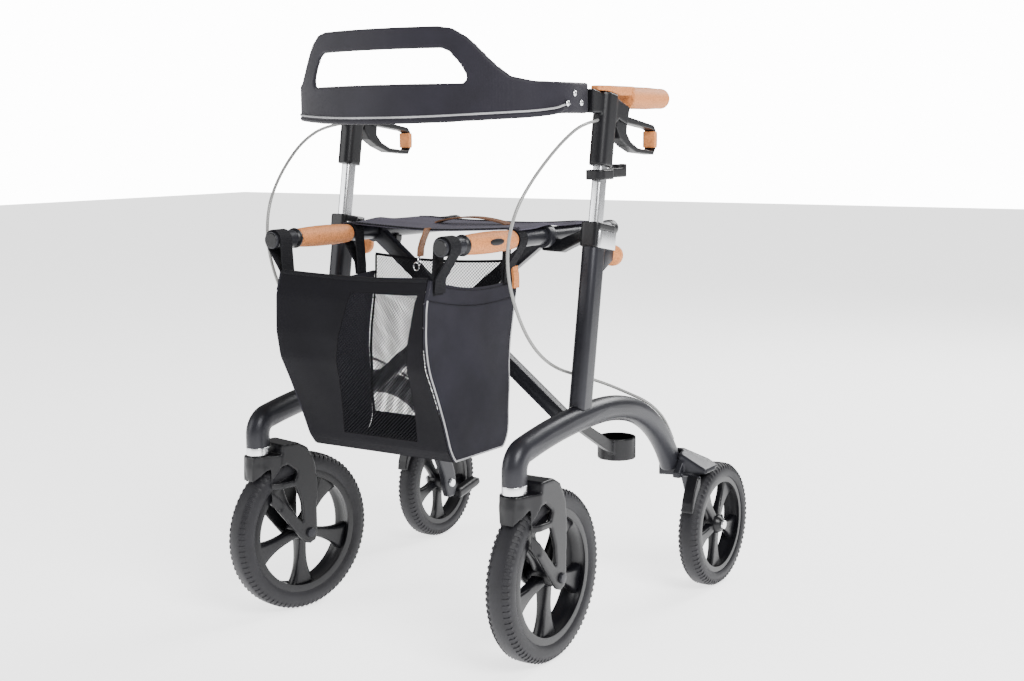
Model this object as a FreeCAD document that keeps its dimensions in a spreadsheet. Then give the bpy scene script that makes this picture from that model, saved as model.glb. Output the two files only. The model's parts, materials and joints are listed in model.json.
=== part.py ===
import FreeCAD, Part
import math
import os
import re
import Sketcher

# A folding four-wheeled rollator. Millimetres, +Z up, user's side towards +Y, origin on the floor
# below the middle of the wheels. Each side frame lies in the plane X = +-side_x.

vector = FreeCAD.Vector
doc = FreeCAD.newDocument("rollator")
dims = doc.addObject("Spreadsheet::Sheet", "dims")

sizes = {
    # side frames
    "side_x": 235, "stem_y": -287, "stem_bottom": 270, "stem_rise": 18, "arch_width": 32, "arch_depth": 38,
    "arch_wall": 3, "front_bend": 26, "front_slope": 12, "top_bend": 986, "shoulder_bend": 360,
    "shoulder_slope": 14, "tail_bend": 235, "tail_slope": 60,
    # posts, telescopic tubes and clamps, measured along the leaning post from its foot
    "lean": 9.5, "foot_y": -115, "foot_z": 333, "post_width": 26, "post_depth": 36, "post_round": 10,
    "post_wall": 2.5, "post_start": 13, "post_top": 248, "tube_width": 16, "tube_depth": 22, "tube_round": 5,
    "tube_start": 110, "tube_gap": 0.3, "collar_height": 25, "band_height": 11, "clamp_back": 42,
    "knob_at": 242, "screw_radius": 4, "knob_radius": 16,
    # handle housings, grips and brake levers
    "housing_bottom": 366, "housing_top": 472, "housing_width": 27, "housing_depth": 38, "housing_round": 11,
    "grip_y": 16, "grip_z": 793, "grip_length": 124, "grip_radius": 16.5, "lever_y": -12, "lever_z": 762,
    "lever_width": 18, "lever_pin": 3,
    # casters and front wheels
    "trail": 73, "front_radius": 125, "front_width": 40, "front_seat": 98, "front_ring": 87,
    "fork_width": 60, "fork_gap": 46, "fork_clear": 131, "ring_height": 12, "stem_radius": 6,
    "left_steer": 11,
    # rear wheels
    "rear_x": 283, "rear_y": 237, "rear_radius": 102, "rear_width": 34, "rear_seat": 80, "rear_ring": 71,
    "axle_radius": 4, "run_gap": 0.05, "hub_radius": 15, "brake_y": -77, "brake_z": 94.5, "brake_pin": 2.5,
    # folding cross and seat rails
    "pivot_x": 207, "pivot_z": 316, "rail_x": 151, "rail_z": 592, "brace_y_left": -92, "brace_y_right": -75,
    "brace_width": 22, "brace_thick": 14, "pin_radius": 5, "rail_radius": 12.5, "rail_front": -335,
    "rail_back": 128, "rail_wall": 2, "carry_front": -281, "carry_back": -162, "carry_radius": 15.5,
    # bag, seat and backrest
    "bag_half": 131, "bag_wall": 6, "bag_top": 548, "bag_floor": 286, "seat_z": 610, "seat_thick": 2.4,
    "panel_thick": 7, "panel_front_radius": 300, "panel_side_radius": 120, "panel_low": 757, "panel_high": 888,
    # cane holder and brake cables
    "cane_x": 200, "cane_y": 58, "cane_radius": 9.6, "cup_radius": 27, "cup_z": 238, "cup_height": 34,
    "cable_radius": 2.4,
}
for row, (alias, amount) in enumerate(sizes.items(), 1):
    dims.set(f"A{row}", alias)
    dims.set(f"B{row}", str(amount))
    dims.setAlias(f"B{row}", alias)
doc.recompute()


def link(expression):
    """A sheet expression: each alias gets the sheet's name in front of it."""
    return re.sub(r"[a-z_]+", lambda m: f"dims.{m[0]}" if m[0] in sizes else m[0], str(expression))


def value(expression):
    return float(dims.evalExpression(link(expression)))


def point(*expressions):
    return vector(*(value(e) for e in expressions))


# ---------------------------------------------------------------- helpers for bodies and features

def new_body(label, x=0, y=0, z=0, lean=None):
    body = doc.addObject("PartDesign::Body", label)
    body.Label = label
    body.Placement = FreeCAD.Placement(vector(), FreeCAD.Rotation(vector(-1, 0, 0), 0 if lean is None else 9))
    for axis, place in zip("xyz", (x, y, z)):
        body.setExpression(f"Placement.Base.{axis}", link(place))
    if lean is not None:
        body.setExpression("Placement.Rotation.Angle", f"{link(lean)} * 1 deg")
    return body


def leaning(y, z):
    """World Y and Z as a pair of expressions across and along the leaning post."""
    across, up = f"({y} - foot_y)", f"({z} - foot_z)"
    return f"{across} * cos(lean) - {up} * sin(lean)", f"{across} * sin(lean) + {up} * cos(lean)"


def new_sketch(body, role, offset=0, tilt=0):
    """A sketch on one of the body's origin planes, moved along its normal and tilted about its own X."""
    sketch = body.newObject("Sketcher::SketchObject", f"{body.Label}_sketch")
    support = next(f for f in body.Origin.OriginFeatures if f.Role == role)
    sketch.AttachmentSupport = [(support, "")]
    sketch.MapMode = "FlatFace"
    sketch.AttachmentOffset = FreeCAD.Placement(vector(), FreeCAD.Rotation(vector(1, 0, 0), value(tilt)))
    sketch.setExpression("AttachmentOffset.Base.z", link(offset))
    return sketch


def fix(sketch, geometry, which, x, y):
    """Hold one point of the sketch at expressions for x and y."""
    for kind, place in (("DistanceX", x), ("DistanceY", y)):
        index = sketch.addConstraint(Sketcher.Constraint(kind, -1, 1, geometry, which, value(place)))
        sketch.setExpression(f"Constraints[{index}]", link(place))


def circle(sketch, x, y, radius):
    geometry = sketch.addGeometry(Part.Circle(point(x, y, 0), vector(0, 0, 1), value(radius)))
    fix(sketch, geometry, 3, x, y)
    index = sketch.addConstraint(Sketcher.Constraint("Radius", geometry, value(radius)))
    sketch.setExpression(f"Constraints[{index}]", link(radius))


def polygon(sketch, corners):
    """A closed outline of straight lines through corners given as pairs of expressions."""
    first = sketch.GeometryCount
    count = len(corners)
    for here, there in zip(corners, corners[1:] + corners[:1]):
        sketch.addGeometry(Part.LineSegment(point(*here, 0), point(*there, 0)))
    for i, corner in enumerate(corners):
        sketch.addConstraint(Sketcher.Constraint("Coincident", first + (i - 1) % count, 2, first + i, 1))
        fix(sketch, first + i, 1, *corner)


def rectangle(sketch, width, depth, x=0, y=0):
    left, right = f"{x} - ({width}) / 2", f"{x} + ({width}) / 2"
    low, high = f"{y} - ({depth}) / 2", f"{y} + ({depth}) / 2"
    polygon(sketch, [(left, low), (right, low), (right, high), (left, high)])


def slot(sketch, width, depth):
    """A flat oval: two half circles of the full width joined by straight sides."""
    radius = f"({width}) / 2"
    centre = f"(({depth}) - ({width})) / 2"
    ends = [(1, 0, math.pi), (-1, math.pi, 2 * math.pi)]
    for i, (side, start, stop) in enumerate(ends):
        whole = Part.Circle(point(0, f"{side} * {centre}", 0), vector(0, 0, 1), value(radius))
        sketch.addGeometry(Part.ArcOfCircle(whole, start, stop))
        fix(sketch, i, 3, 0, f"{side} * {centre}")
        index = sketch.addConstraint(Sketcher.Constraint("Radius", i, value(radius)))
        sketch.setExpression(f"Constraints[{index}]", link(radius))
    for i, side in enumerate((-1, 1)):
        low = point(f"{side} * {radius}", f"-{centre}", 0)
        high = point(f"{side} * {radius}", centre, 0)
        sketch.addGeometry(Part.LineSegment(low, high))
        sketch.addConstraint(Sketcher.Constraint("Tangent", 1, 1 if side < 0 else 2, 2 + i, 1))
        sketch.addConstraint(Sketcher.Constraint("Tangent", 0, 2 if side < 0 else 1, 2 + i, 2))


def extrude(body, sketch, length, both=True, kind="Pad", back=False):
    feature = body.newObject(f"PartDesign::{kind}", f"{body.Label}_{kind.lower()}")
    feature.Profile = sketch
    feature.SideType = "Symmetric" if both else "One side"
    feature.Reversed = back
    feature.setExpression("Length", link(length))
    sketch.Visibility = False
    doc.recompute()
    return feature


def cut(body, sketch, length, both=True, back=False):
    """A pocket, which has to take something away."""
    before = body.Shape.Volume
    feature = extrude(body, sketch, length, both, "Pocket", back)
    if body.Shape.Volume > before - 0.01:
        raise RuntimeError(f"a pocket in {body.Label} cuts nothing")
    return feature


def turn(body, sketch, axis="H_Axis", kind="Revolution"):
    feature = body.newObject(f"PartDesign::{kind}", f"{body.Label}_{kind.lower()}")
    feature.Profile = sketch
    feature.ReferenceAxis = (sketch, [axis])
    feature.Angle = 360
    doc.recompute()
    return feature


def ring_pattern(body, feature, count):
    pattern = body.newObject("PartDesign::PolarPattern", f"{body.Label}_pattern")
    pattern.Originals = [feature]
    axis = next(f for f in body.Origin.OriginFeatures if f.Role == "X_Axis")
    pattern.Axis = (axis, [""])
    pattern.Angle = 360
    pattern.Occurrences = count
    body.Tip = pattern
    doc.recompute()


def round_edges(body, radius, chosen):
    """Fillet the edges of the tip that the test picks."""
    base = body.Tip
    names = [f"Edge{i}" for i, edge in enumerate(base.Shape.Edges, 1) if chosen(edge)]
    fillet = body.newObject("PartDesign::Fillet", f"{body.Label}_fillet")
    fillet.Base = (base, names)
    fillet.setExpression("Radius", link(radius))
    body.Tip = fillet
    doc.recompute()


def along(axis, least=0):
    """A test for straight edges along one axis, at least this long."""
    def test(edge):
        if edge.Length < least or edge.Curve.TypeId != "Part::GeomLine":
            return False
        return abs(edge.Curve.Direction.normalize().dot(axis)) > 0.999
    return test


upright = vector(0, 0, 1)
crossways = vector(1, 0, 0)
lengthways = vector(0, 1, 0)


def oval_tube(body, width, depth, radius, start, stop, hole=None):
    """A rounded rectangular extrusion along the body's own Z, with a hole (width, depth, radius)."""
    sketch = new_sketch(body, "XY_Plane", start)
    rectangle(sketch, width, depth)
    extrude(body, sketch, f"({stop}) - ({start})", both=False)
    if hole:
        inner_sketch = new_sketch(body, "XY_Plane", start)
        rectangle(inner_sketch, hole[0], hole[1])
        cut(body, inner_sketch, f"({stop}) - ({start}) + 1", both=False, back=True)
        half = value(width) / 2 - 0.1
        round_edges(body, hole[2], lambda e: along(upright, 5)(e) and abs(e.CenterOfMass.x) < half)
    half_width = value(width) / 2 - 0.1
    round_edges(body, radius, lambda e: along(upright, 5)(e) and abs(e.CenterOfMass.x) > half_width)


# ---------------------------------------------------------------- side frames

def arch_route(sketch):
    """Stem, front bend, long rise to the crown, then the shoulder and the tail down to the rear wheel."""
    y, z = 0.0, value("stem_rise")
    start = vector(0, 0, 0)
    sketch.addGeometry(Part.LineSegment(start, vector(y, z, 0)))
    heading = math.pi / 2
    bends = [("front_bend", "90 - front_slope"), ("top_bend", "front_slope"),
             ("shoulder_bend", "shoulder_slope"), ("tail_bend", "tail_slope - shoulder_slope")]
    for radius_name, turn_name in bends:
        radius, swing = value(radius_name), math.radians(value(turn_name))
        centre = vector(y + radius * math.sin(heading), z - radius * math.cos(heading), 0)
        from_angle = heading + math.pi / 2
        whole = Part.Circle(centre, vector(0, 0, 1), radius)
        sketch.addGeometry(Part.ArcOfCircle(whole, from_angle - swing, from_angle))
        heading -= swing
        y = centre.x + radius * math.cos(heading + math.pi / 2)
        z = centre.y + radius * math.sin(heading + math.pi / 2)
    end = vector(y + 4 * math.cos(heading), z + 4 * math.sin(heading), 0)
    sketch.addGeometry(Part.LineSegment(vector(y, z, 0), end))
    for geometry in range(sketch.GeometryCount):
        sketch.addConstraint(Sketcher.Constraint("Block", geometry))
    return end.x, end.y


def sweep(body, kind, profile, route):
    pipe = body.newObject(f"PartDesign::{kind}", f"{body.Label}_{kind.lower()}")
    pipe.Profile = profile
    pipe.Spine = (route, [f"Edge{i + 1}" for i in range(route.GeometryCount)])
    body.Tip = pipe
    doc.recompute()


def make_arch(side, sign, pivot_y):
    """The bent oval tube of one side frame, with the lug and pin that carry the folding cross."""
    body = new_body(f"{side}_arch", f"{sign} * side_x", "stem_y", "stem_bottom")
    route = new_sketch(body, "YZ_Plane")
    tail = arch_route(route)
    profile = new_sketch(body, "XY_Plane")
    slot(profile, "arch_width", "arch_depth")
    sweep(body, "AdditivePipe", profile, route)
    bore = new_sketch(body, "XY_Plane")
    slot(bore, "arch_width - 2 * arch_wall", "arch_depth - 2 * arch_wall")
    sweep(body, "SubtractivePipe", bore, route)
    lug_x, lug_z = f"{sign} * (pivot_x - side_x)", "pivot_z - stem_bottom"
    inner = f"{sign} * (arch_width / 2 - 1)"
    middle = f"({pivot_y} - stem_y)"
    for step in (-1, 1):
        lug = new_sketch(body, "XZ_Plane", f"-({middle} + {step} * (brace_thick / 2 + 3.5))")
        polygon(lug, [(f"-({inner})", f"{lug_z} + 14"), (f"-({inner}) + {sign} * 8", f"{lug_z} + 4"),
                      (f"{lug_x} + {sign} * 3", f"{lug_z} - 9"), (f"{lug_x} - {sign} * 7", f"{lug_z} - 5"),
                      (f"{lug_x} - {sign} * 5", f"{lug_z} + 7")])
        extrude(body, lug, 5)
    pin = new_sketch(body, "XZ_Plane", f"-{middle}")
    circle(pin, lug_x, lug_z, "pin_radius")
    extrude(body, pin, "brace_thick + 11")
    return body, tail


def make_post(side, sign):
    """The leaning post, notched over the arch, with the rear boss that the height screw runs in."""
    body = new_body(f"{side}_post", f"{sign} * side_x", "foot_y", "foot_z", "lean")
    hole = ("post_width - 2 * post_wall", "post_depth - 2 * post_wall", "post_round - post_wall")
    oval_tube(body, "post_width", "post_depth", "post_round", "post_start - 8", "post_top", hole)
    notch = new_sketch(body, "XZ_Plane", 0, "lean + 4")
    circle(notch, 0, 3.8, "arch_width / 2 + 0.7")
    cut(body, notch, 120)
    boss = new_sketch(body, "YZ_Plane")
    back = "post_depth / 2 - 1"
    polygon(boss, [(back, "knob_at - 26"), ("clamp_back", "knob_at - 8"), ("clamp_back", "post_top"),
                   (back, "post_top")])
    extrude(body, boss, 20)
    screw = new_sketch(body, "XZ_Plane", "-clamp_back - 1")
    circle(screw, 0, "knob_at", "screw_radius + run_gap")
    cut(body, screw, 30, both=False, back=True)
    return body


def make_collar(side, sign):
    """The bright clamp block round the outer and rear side of the telescopic tube."""
    body = new_body(f"{side}_collar", f"{sign} * side_x", "foot_y", "foot_z", "lean")
    block = new_sketch(body, "XY_Plane", "post_top")
    rectangle(block, "post_width + 3", "clamp_back + 9", 0, "clamp_back / 2 - 4.5")
    extrude(body, block, "collar_height", both=False)
    round_edges(body, 6, along(upright, 5))
    hole = new_sketch(body, "XY_Plane", "post_top")
    rectangle(hole, "tube_width + 2 * tube_gap", 60, 0, "tube_depth / 2 + tube_gap - 30")
    cut(body, hole, "collar_height", both=False, back=True)
    return body


def make_cradle(side, sign):
    """The black band on top of the collar, with the front shell and the arm that the seat rail rests on."""
    body = new_body(f"{side}_cradle", f"{sign} * side_x", "foot_y", "foot_z", "lean")
    base = "post_top + collar_height"
    shell = new_sketch(body, "XY_Plane", "post_top")
    rectangle(shell, "post_width + 2", 7.6, 0, "-post_depth / 2 + 2.8")
    extrude(body, shell, "collar_height", both=False)
    band = new_sketch(body, "XY_Plane", base)
    rectangle(band, "post_width + 5", "post_depth + 20", 0, 9)
    extrude(body, band, "band_height", both=False)
    round_edges(body, 7, lambda e: along(upright, 5)(e) and abs(e.CenterOfMass.x) > value("post_width / 2 + 2"))
    hole = new_sketch(body, "XY_Plane", base)
    rectangle(hole, "tube_width + 2 * tube_gap", "tube_depth + 2 * tube_gap")
    cut(body, hole, "band_height", both=False, back=True)
    arm = new_sketch(body, "XZ_Plane", -21.5)
    reach = f"{sign} * (rail_x - side_x)"
    lip = "(rail_z - foot_z) / cos(lean) - 4"
    polygon(arm, [(f"-{sign} * 12", f"{base} + 0.5"), (f"-{sign} * 12", f"{base} + band_height - 2"),
                  (f"{reach} + {sign} * 17", f"{lip} + 1"), (f"{reach} - {sign} * 15", f"{lip} - 1"),
                  (f"{reach} - {sign} * 13", f"{lip} - 17"), (f"{reach} + {sign} * 20", f"{lip} - 18"),
                  (f"-{sign} * 17", f"{base} - 9"), (f"-{sign} * 17", f"{base} + 0.5")])
    extrude(body, arm, 16)
    saddle = new_sketch(body, "XZ_Plane", 0, "lean")
    circle(saddle, reach, "rail_z - foot_z", "rail_radius + 0.3")
    cut(body, saddle, 220)
    return body


def make_stem_ring(side, sign):
    """The bright bearing ring between the stem and the caster, bored for the caster's pin."""
    body = new_body(f"{side}_stem_ring", f"{sign} * side_x", "stem_y", "stem_bottom")
    ring = new_sketch(body, "XY_Plane", "-ring_height")
    slot(ring, "arch_width + 1", "arch_depth")
    extrude(body, ring, "ring_height - 0.05", both=False)
    bore = new_sketch(body, "XY_Plane", "-ring_height")
    circle(bore, 0, 0, "stem_radius + run_gap")
    cut(body, bore, "ring_height", both=False, back=True)
    return body


def make_rear_bracket(side, sign, tail):
    """The casting that plugs onto the arch's tail, bridges the tyre and carries the rear axle."""
    body = new_body(f"{side}_rear_bracket", f"{sign} * rear_x", "rear_y", "rear_radius")
    crown = new_sketch(body, "XZ_Plane", 46)
    polygon(crown, [(f"-{sign} * 66", 88), (f"-{sign} * 66", 128), (f"-{sign} * 34", 131),
                    (f"{sign} * 18", 106), (f"{sign} * 20", 99), (f"-{sign} * 15", 92)])
    extrude(body, crown, 48)
    arm = new_sketch(body, "YZ_Plane", f"-{sign} * 27")
    polygon(arm, [(-84, 99), (-70, 116), (-50, 122), (-22, 112), (14, 14), (17, -14), (10, -27), (-9, -27),
                  (-17, -6), (-20, 14), (-57, 90), (-84, 89)])
    extrude(body, arm, 13)
    round_edges(body, 8, lambda e: along(crossways, 12)(e) and e.CenterOfMass.z < 30)
    wheel_room = new_sketch(body, "YZ_Plane", f"{sign} * 12")
    circle(wheel_room, 0, 0, "rear_radius + 4")
    cut(body, wheel_room, 64)
    slope = new_sketch(body, "YZ_Plane")
    polygon(slope, [(-80, 140), (-80, 122), (-44, 134), (-12, 104), (10, 104), (10, 140)])
    cut(body, slope, 200)
    bore = new_sketch(body, "YZ_Plane", f"-{sign} * 27")
    circle(bore, 0, 0, "axle_radius")
    cut(body, bore, 40)
    back, up = tail[0] + value("stem_y - rear_y"), tail[1] + value("stem_bottom - rear_radius")
    seat = new_sketch(body, "XY_Plane", up - back * math.tan(math.pi / 6), 30)
    rectangle(seat, "arch_width + 1", "arch_depth + 3", f"-{sign} * (rear_x - side_x)", back / math.cos(math.pi / 6))
    cut(body, seat, 60, both=False, back=True)
    pin = new_sketch(body, "YZ_Plane", f"-{sign} * 8")
    circle(pin, "brake_y", "brake_z", "brake_pin")
    extrude(body, pin, 42)
    return body


def make_tip_pedal(side, sign):
    """The ribbed peg behind the bracket that a foot presses to lift the front wheels."""
    body = new_body(f"{side}_tip_pedal", f"{sign} * (rear_x - 30)", "rear_y + 8", 78)
    outline = new_sketch(body, "YZ_Plane")
    polygon(outline, [(11.6, -9), (11.6, 9), (24, 11), (66, 20), (74, 17), (77, 9), (70, 1), (24, -9)])
    extrude(body, outline, 20)
    round_edges(body, 7, along(vector(0, 0.978, 0.21), 20))
    return body


def make_axle(label, x, y, z, inner, outer, steer=0):
    """A headed axle along X: shank between two faces, a head outside each."""
    body = new_body(label, x, y, z)
    half = new_sketch(body, "XY_Plane")
    polygon(half, [(f"{inner} - 5", 0), (f"{inner} - 5", 7), (inner, 8), (inner, "axle_radius"),
                   (outer, "axle_radius"), (outer, 8), (f"{outer} + 4", 7), (f"{outer} + 4", 0)])
    turn(body, half)
    return body


def make_cup():
    """The cup for a cane's foot, held inboard of the right arch by an arm from the brace pivot."""
    body = new_body("cane_cup", "cane_x", "cane_y", "cup_z")
    outer = new_sketch(body, "XY_Plane")
    circle(outer, 0, 0, "cup_radius + 3")
    extrude(body, outer, "cup_height", both=False)
    arm = new_sketch(body, "YZ_Plane", 7)
    polygon(arm, [(-26, 10), (-26, 30), (-40, 37), (-112, 74), (-136.9, 88), (-136.9, 70), (-56, 25)])
    extrude(body, arm, 9)
    inner = new_sketch(body, "XY_Plane", 4)
    circle(inner, 0, 0, "cup_radius")
    cut(body, inner, "cup_height", both=False, back=True)
    return body


# ---------------------------------------------------------------- handles

def make_height_tube(side, sign):
    body = new_body(f"{side}_height_tube", f"{sign} * side_x", "foot_y", "foot_z", "lean")
    oval_tube(body, "tube_width", "tube_depth", "tube_round", "tube_start", "housing_bottom + 50",
              ("tube_width - 4", "tube_depth - 4", "tube_round - 2"))
    return body


def make_housing(side, sign):
    """The handle's moulded housing, with its rear neck under the grip and its front backrest lug."""
    body = new_body(f"{side}_housing", f"{sign} * side_x", "foot_y", "foot_z", "lean")
    oval_tube(body, "housing_width", "housing_depth", "housing_round", "housing_bottom", "housing_top")
    neck = new_sketch(body, "YZ_Plane")
    polygon(neck, [(-14, "housing_top - 26"), (15, "housing_top - 42"), (24, "housing_top - 34"),
                   (50, "housing_top - 38"), (54, "housing_top - 11"), (-14, "housing_top")])
    extrude(body, neck, "housing_width - 4")
    lug = new_sketch(body, "YZ_Plane")
    polygon(lug, [(-45.2, "housing_top - 36"), (-15, "housing_top - 32"), (-15, "housing_top - 3"),
                  (-50.4, "housing_top - 2")])
    extrude(body, lug, 14)
    room = new_sketch(body, "YZ_Plane")
    polygon(room, [leaning(f"lever_y + {y}", f"lever_z + {z}") for y, z in ((-14, 10), (28, 12), (28, -60), (-14, -60))])
    cut(body, room, "lever_width + 0.8")
    pin = new_sketch(body, "YZ_Plane")
    circle(pin, *leaning("lever_y", "lever_z"), "lever_pin")
    extrude(body, pin, "housing_width - 5")
    socket = new_sketch(body, "XY_Plane", "housing_bottom")
    rectangle(socket, "tube_width", "tube_depth")
    cut(body, socket, 50, both=False, back=True)
    return body


def make_grip(side, sign):
    """The cork grip: a round bar for the palm and a flat tongue over the top of the housing."""
    body = new_body(f"{side}_grip", f"{sign} * side_x", "grip_y", "grip_z")
    palm = new_sketch(body, "YZ_Plane")
    polygon(palm, [(2, 0), (2, "grip_radius"), (70, "grip_radius"), (100, "grip_radius - 1"),
                   ("grip_length - 8", "grip_radius - 1"), ("grip_length - 2", "grip_radius - 6"),
                   ("grip_length", "grip_radius - 12"), ("grip_length", 0)])
    turn(body, palm)
    tongue = new_sketch(body, "XY_Plane", 2.8)
    polygon(tongue, [(-13, 10), (13, 10), (13, -62), (6, -88), (-6, -88), (-13, -62)])
    extrude(body, tongue, 13.7, both=False)
    under = new_sketch(body, "YZ_Plane")
    polygon(under, [(-100, 9.2), (-72, 9.2), (-30, 2.8), (2, 2.8), (2, 0), (-100, 0)])
    cut(body, under, 60)
    return body


def make_lever(side, sign):
    """The brake lever: a loop hanging behind the housing, with a thin rear bar."""
    body = new_body(f"{side}_brake_lever", f"{sign} * side_x", "lever_y", "lever_z")
    outer = new_sketch(body, "YZ_Plane")
    polygon(outer, [(-10, 8), (10, 6), (104, -9), (111, -16), (111, -45), (104, -54), (52, -50), (22, -40),
                    (0, -28), (-11, -12)])
    extrude(body, outer, "lever_width")
    inner = new_sketch(body, "YZ_Plane")
    polygon(inner, [(22, -6), (97, -15), (107.5, -18), (107.5, -44), (102, -48), (56, -43), (32, -33),
                    (20, -20)])
    cut(body, inner, 60)
    hole = new_sketch(body, "YZ_Plane")
    circle(hole, 0, 0, "lever_pin + run_gap")
    cut(body, hole, 60)
    return body


def make_lever_pad(side, sign):
    """The cork sleeve round the lever's rear bar."""
    body = new_body(f"{side}_lever_pad", f"{sign} * side_x", "lever_y", "lever_z")
    block = new_sketch(body, "YZ_Plane")
    polygon(block, [(104.6, -18.5), (113.6, -18.5), (114.4, -31), (113.6, -43.5), (104.6, -43.5)])
    extrude(body, block, "lever_width + 3")
    slit = new_sketch(body, "YZ_Plane")
    polygon(slit, [(107.5, -17), (111, -17), (111, -45), (107.5, -45)])
    cut(body, slit, "lever_width")
    return body


def make_knob(side, sign):
    """The height knob: a screw shank and a flared cork head, turning about the screw's axis."""
    body = new_body(f"{side}_knob", f"{sign} * side_x", "foot_y", "foot_z", "lean")
    half = new_sketch(body, "YZ_Plane")
    level = "knob_at"
    start = "clamp_back + 0.4"
    polygon(half, [("clamp_back - 18", level), ("clamp_back - 18", f"{level} + screw_radius"),
                   (start, f"{level} + screw_radius"), (start, f"{level} + 9"),
                   (f"{start} + 4", f"{level} + 10"), (f"{start} + 13", f"{level} + knob_radius"),
                   (f"{start} + 21", f"{level} + knob_radius - 1"), (f"{start} + 26", f"{level} + 8"),
                   (f"{start} + 26", level)])
    feature = body.newObject("PartDesign::Revolution", f"{side}_knob_revolution")
    feature.Profile = half
    feature.ReferenceAxis = (half, ["Edge9"])
    feature.Angle = 360
    doc.recompute()
    return body


def make_clip():
    """The cane clip: a block round the right telescopic tube, an arm and an open hook."""
    body = new_body("cane_clip", "side_x", "foot_y + (684 - foot_z) * tan(lean)", 675)
    block = new_sketch(body, "XY_Plane")
    rectangle(block, 31, 42)
    extrude(body, block, 14.5, both=False)
    round_edges(body, 10, along(upright, 5))
    hook_x, hook_y = "(cane_x - side_x)", "(cane_y - foot_y - (684 - foot_z) * tan(lean))"
    arm = new_sketch(body, "XY_Plane")
    polygon(arm, [(-15, -12), (-8, 18), (f"{hook_x} + 14", 32), (f"{hook_x} + 14", f"{hook_y}"),
                  (f"{hook_x} + 9", f"{hook_y}"), (f"{hook_x} + 9", 30), (-15, 14)])
    extrude(body, arm, 14.5, both=False)
    hook = new_sketch(body, "XY_Plane")
    circle(hook, hook_x, hook_y, "cane_radius + 4.4")
    extrude(body, hook, 20, both=False)
    grip = new_sketch(body, "XY_Plane")
    circle(grip, hook_x, hook_y, "cane_radius")
    cut(body, grip, 20, both=False, back=True)
    gap = new_sketch(body, "XY_Plane")
    polygon(gap, [(hook_x, hook_y), (f"{hook_x} - 20", f"{hook_y} + 6"), (f"{hook_x} - 6", f"{hook_y} + 20")])
    cut(body, gap, 20, both=False, back=True)
    hole = new_sketch(body, "XY_Plane")
    rectangle(hole, 17, 27)
    cut(body, hole, 20, both=False, back=True)
    return body


# ---------------------------------------------------------------- casters and wheels

def make_fork(side, sign):
    """The caster fork: a rounded head under the ring, a crown behind it and two windowed legs."""
    body = new_body(f"{side}_fork", f"{sign} * side_x", "stem_y", 0)
    axle_y, axle_z = "trail", "front_radius"
    legs = new_sketch(body, "YZ_Plane")
    polygon(legs, [(-20, 238), (-21, 210), (-14, 202), (56, 118), (64, 110), (73, 107), (83, 111), (88, 122),
                   (88, 160), (90, 205), (86, 236), (72, 262), (54, 272), (24, 272), (22.5, 257), (-18, 257)])
    extrude(body, legs, "fork_width")
    for side_sign in (-1, 1):
        corner = new_sketch(body, "XY_Plane", 290)
        polygon(corner, [(f"{side_sign} * 40", -40), (f"{side_sign} * 10", -40), (f"{side_sign} * 12", -20),
                         (f"{side_sign} * 20", -8), (f"{side_sign} * 24", 6), (f"{side_sign} * 30.2", 22),
                         (f"{side_sign} * 40", 22)])
        cut(body, corner, 120, both=False)
    head = new_sketch(body, "YZ_Plane")
    polygon(head, [(0, 200), (8, 202), (16, 209), (21, 222), (22, 240), (20, 257), (0, 257)])
    turn(body, head, "V_Axis")
    wheel_room = new_sketch(body, "YZ_Plane")
    circle(wheel_room, axle_y, axle_z, "fork_clear")
    cut(body, wheel_room, "fork_gap")
    for window in ([(6, 203), (48, 203), (58, 176), (61, 142)], [(6, 214), (46, 213), (52, 226), (34, 240), (22, 238)]):
        opening = new_sketch(body, "YZ_Plane")
        polygon(opening, window)
        cut(body, opening, 90)
    bore = new_sketch(body, "XY_Plane", 190)
    circle(bore, 0, 0, "stem_radius")
    cut(body, bore, 90, both=False, back=True)
    axle_bore = new_sketch(body, "YZ_Plane")
    circle(axle_bore, axle_y, axle_z, "axle_radius")
    cut(body, axle_bore, 90)
    return body


def make_stem_pin(side, sign):
    body = new_body(f"{side}_caster_pin", f"{sign} * side_x", "stem_y", 0)
    half = new_sketch(body, "YZ_Plane")
    polygon(half, [(0, 232), ("stem_radius", 232), ("stem_radius", 288), (10, 288), (10, 294), (0, 294)])
    turn(body, half, "V_Axis")
    return body


def make_tyre(label, x, y, radius, width, seat):
    """A soft tyre with a crowned tread, modelled about its own axle along X."""
    body = new_body(label, x, y, radius)
    half = f"({width}) / 2"
    section = new_sketch(body, "XY_Plane")
    polygon(section, [(f"-{half} + 3", seat), (f"{half} - 3", seat), (half, f"{seat} + 6"),
                      (half, f"{radius} - 10"), (f"{half} - 4", f"{radius} - 3.5"), (f"{half} - 10", radius),
                      (f"-{half} + 10", radius), (f"-{half} + 4", f"{radius} - 3.5"), (f"-{half}", f"{radius} - 10"),
                      (f"-{half}", f"{seat} + 6")])
    turn(body, section)
    return body


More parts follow.
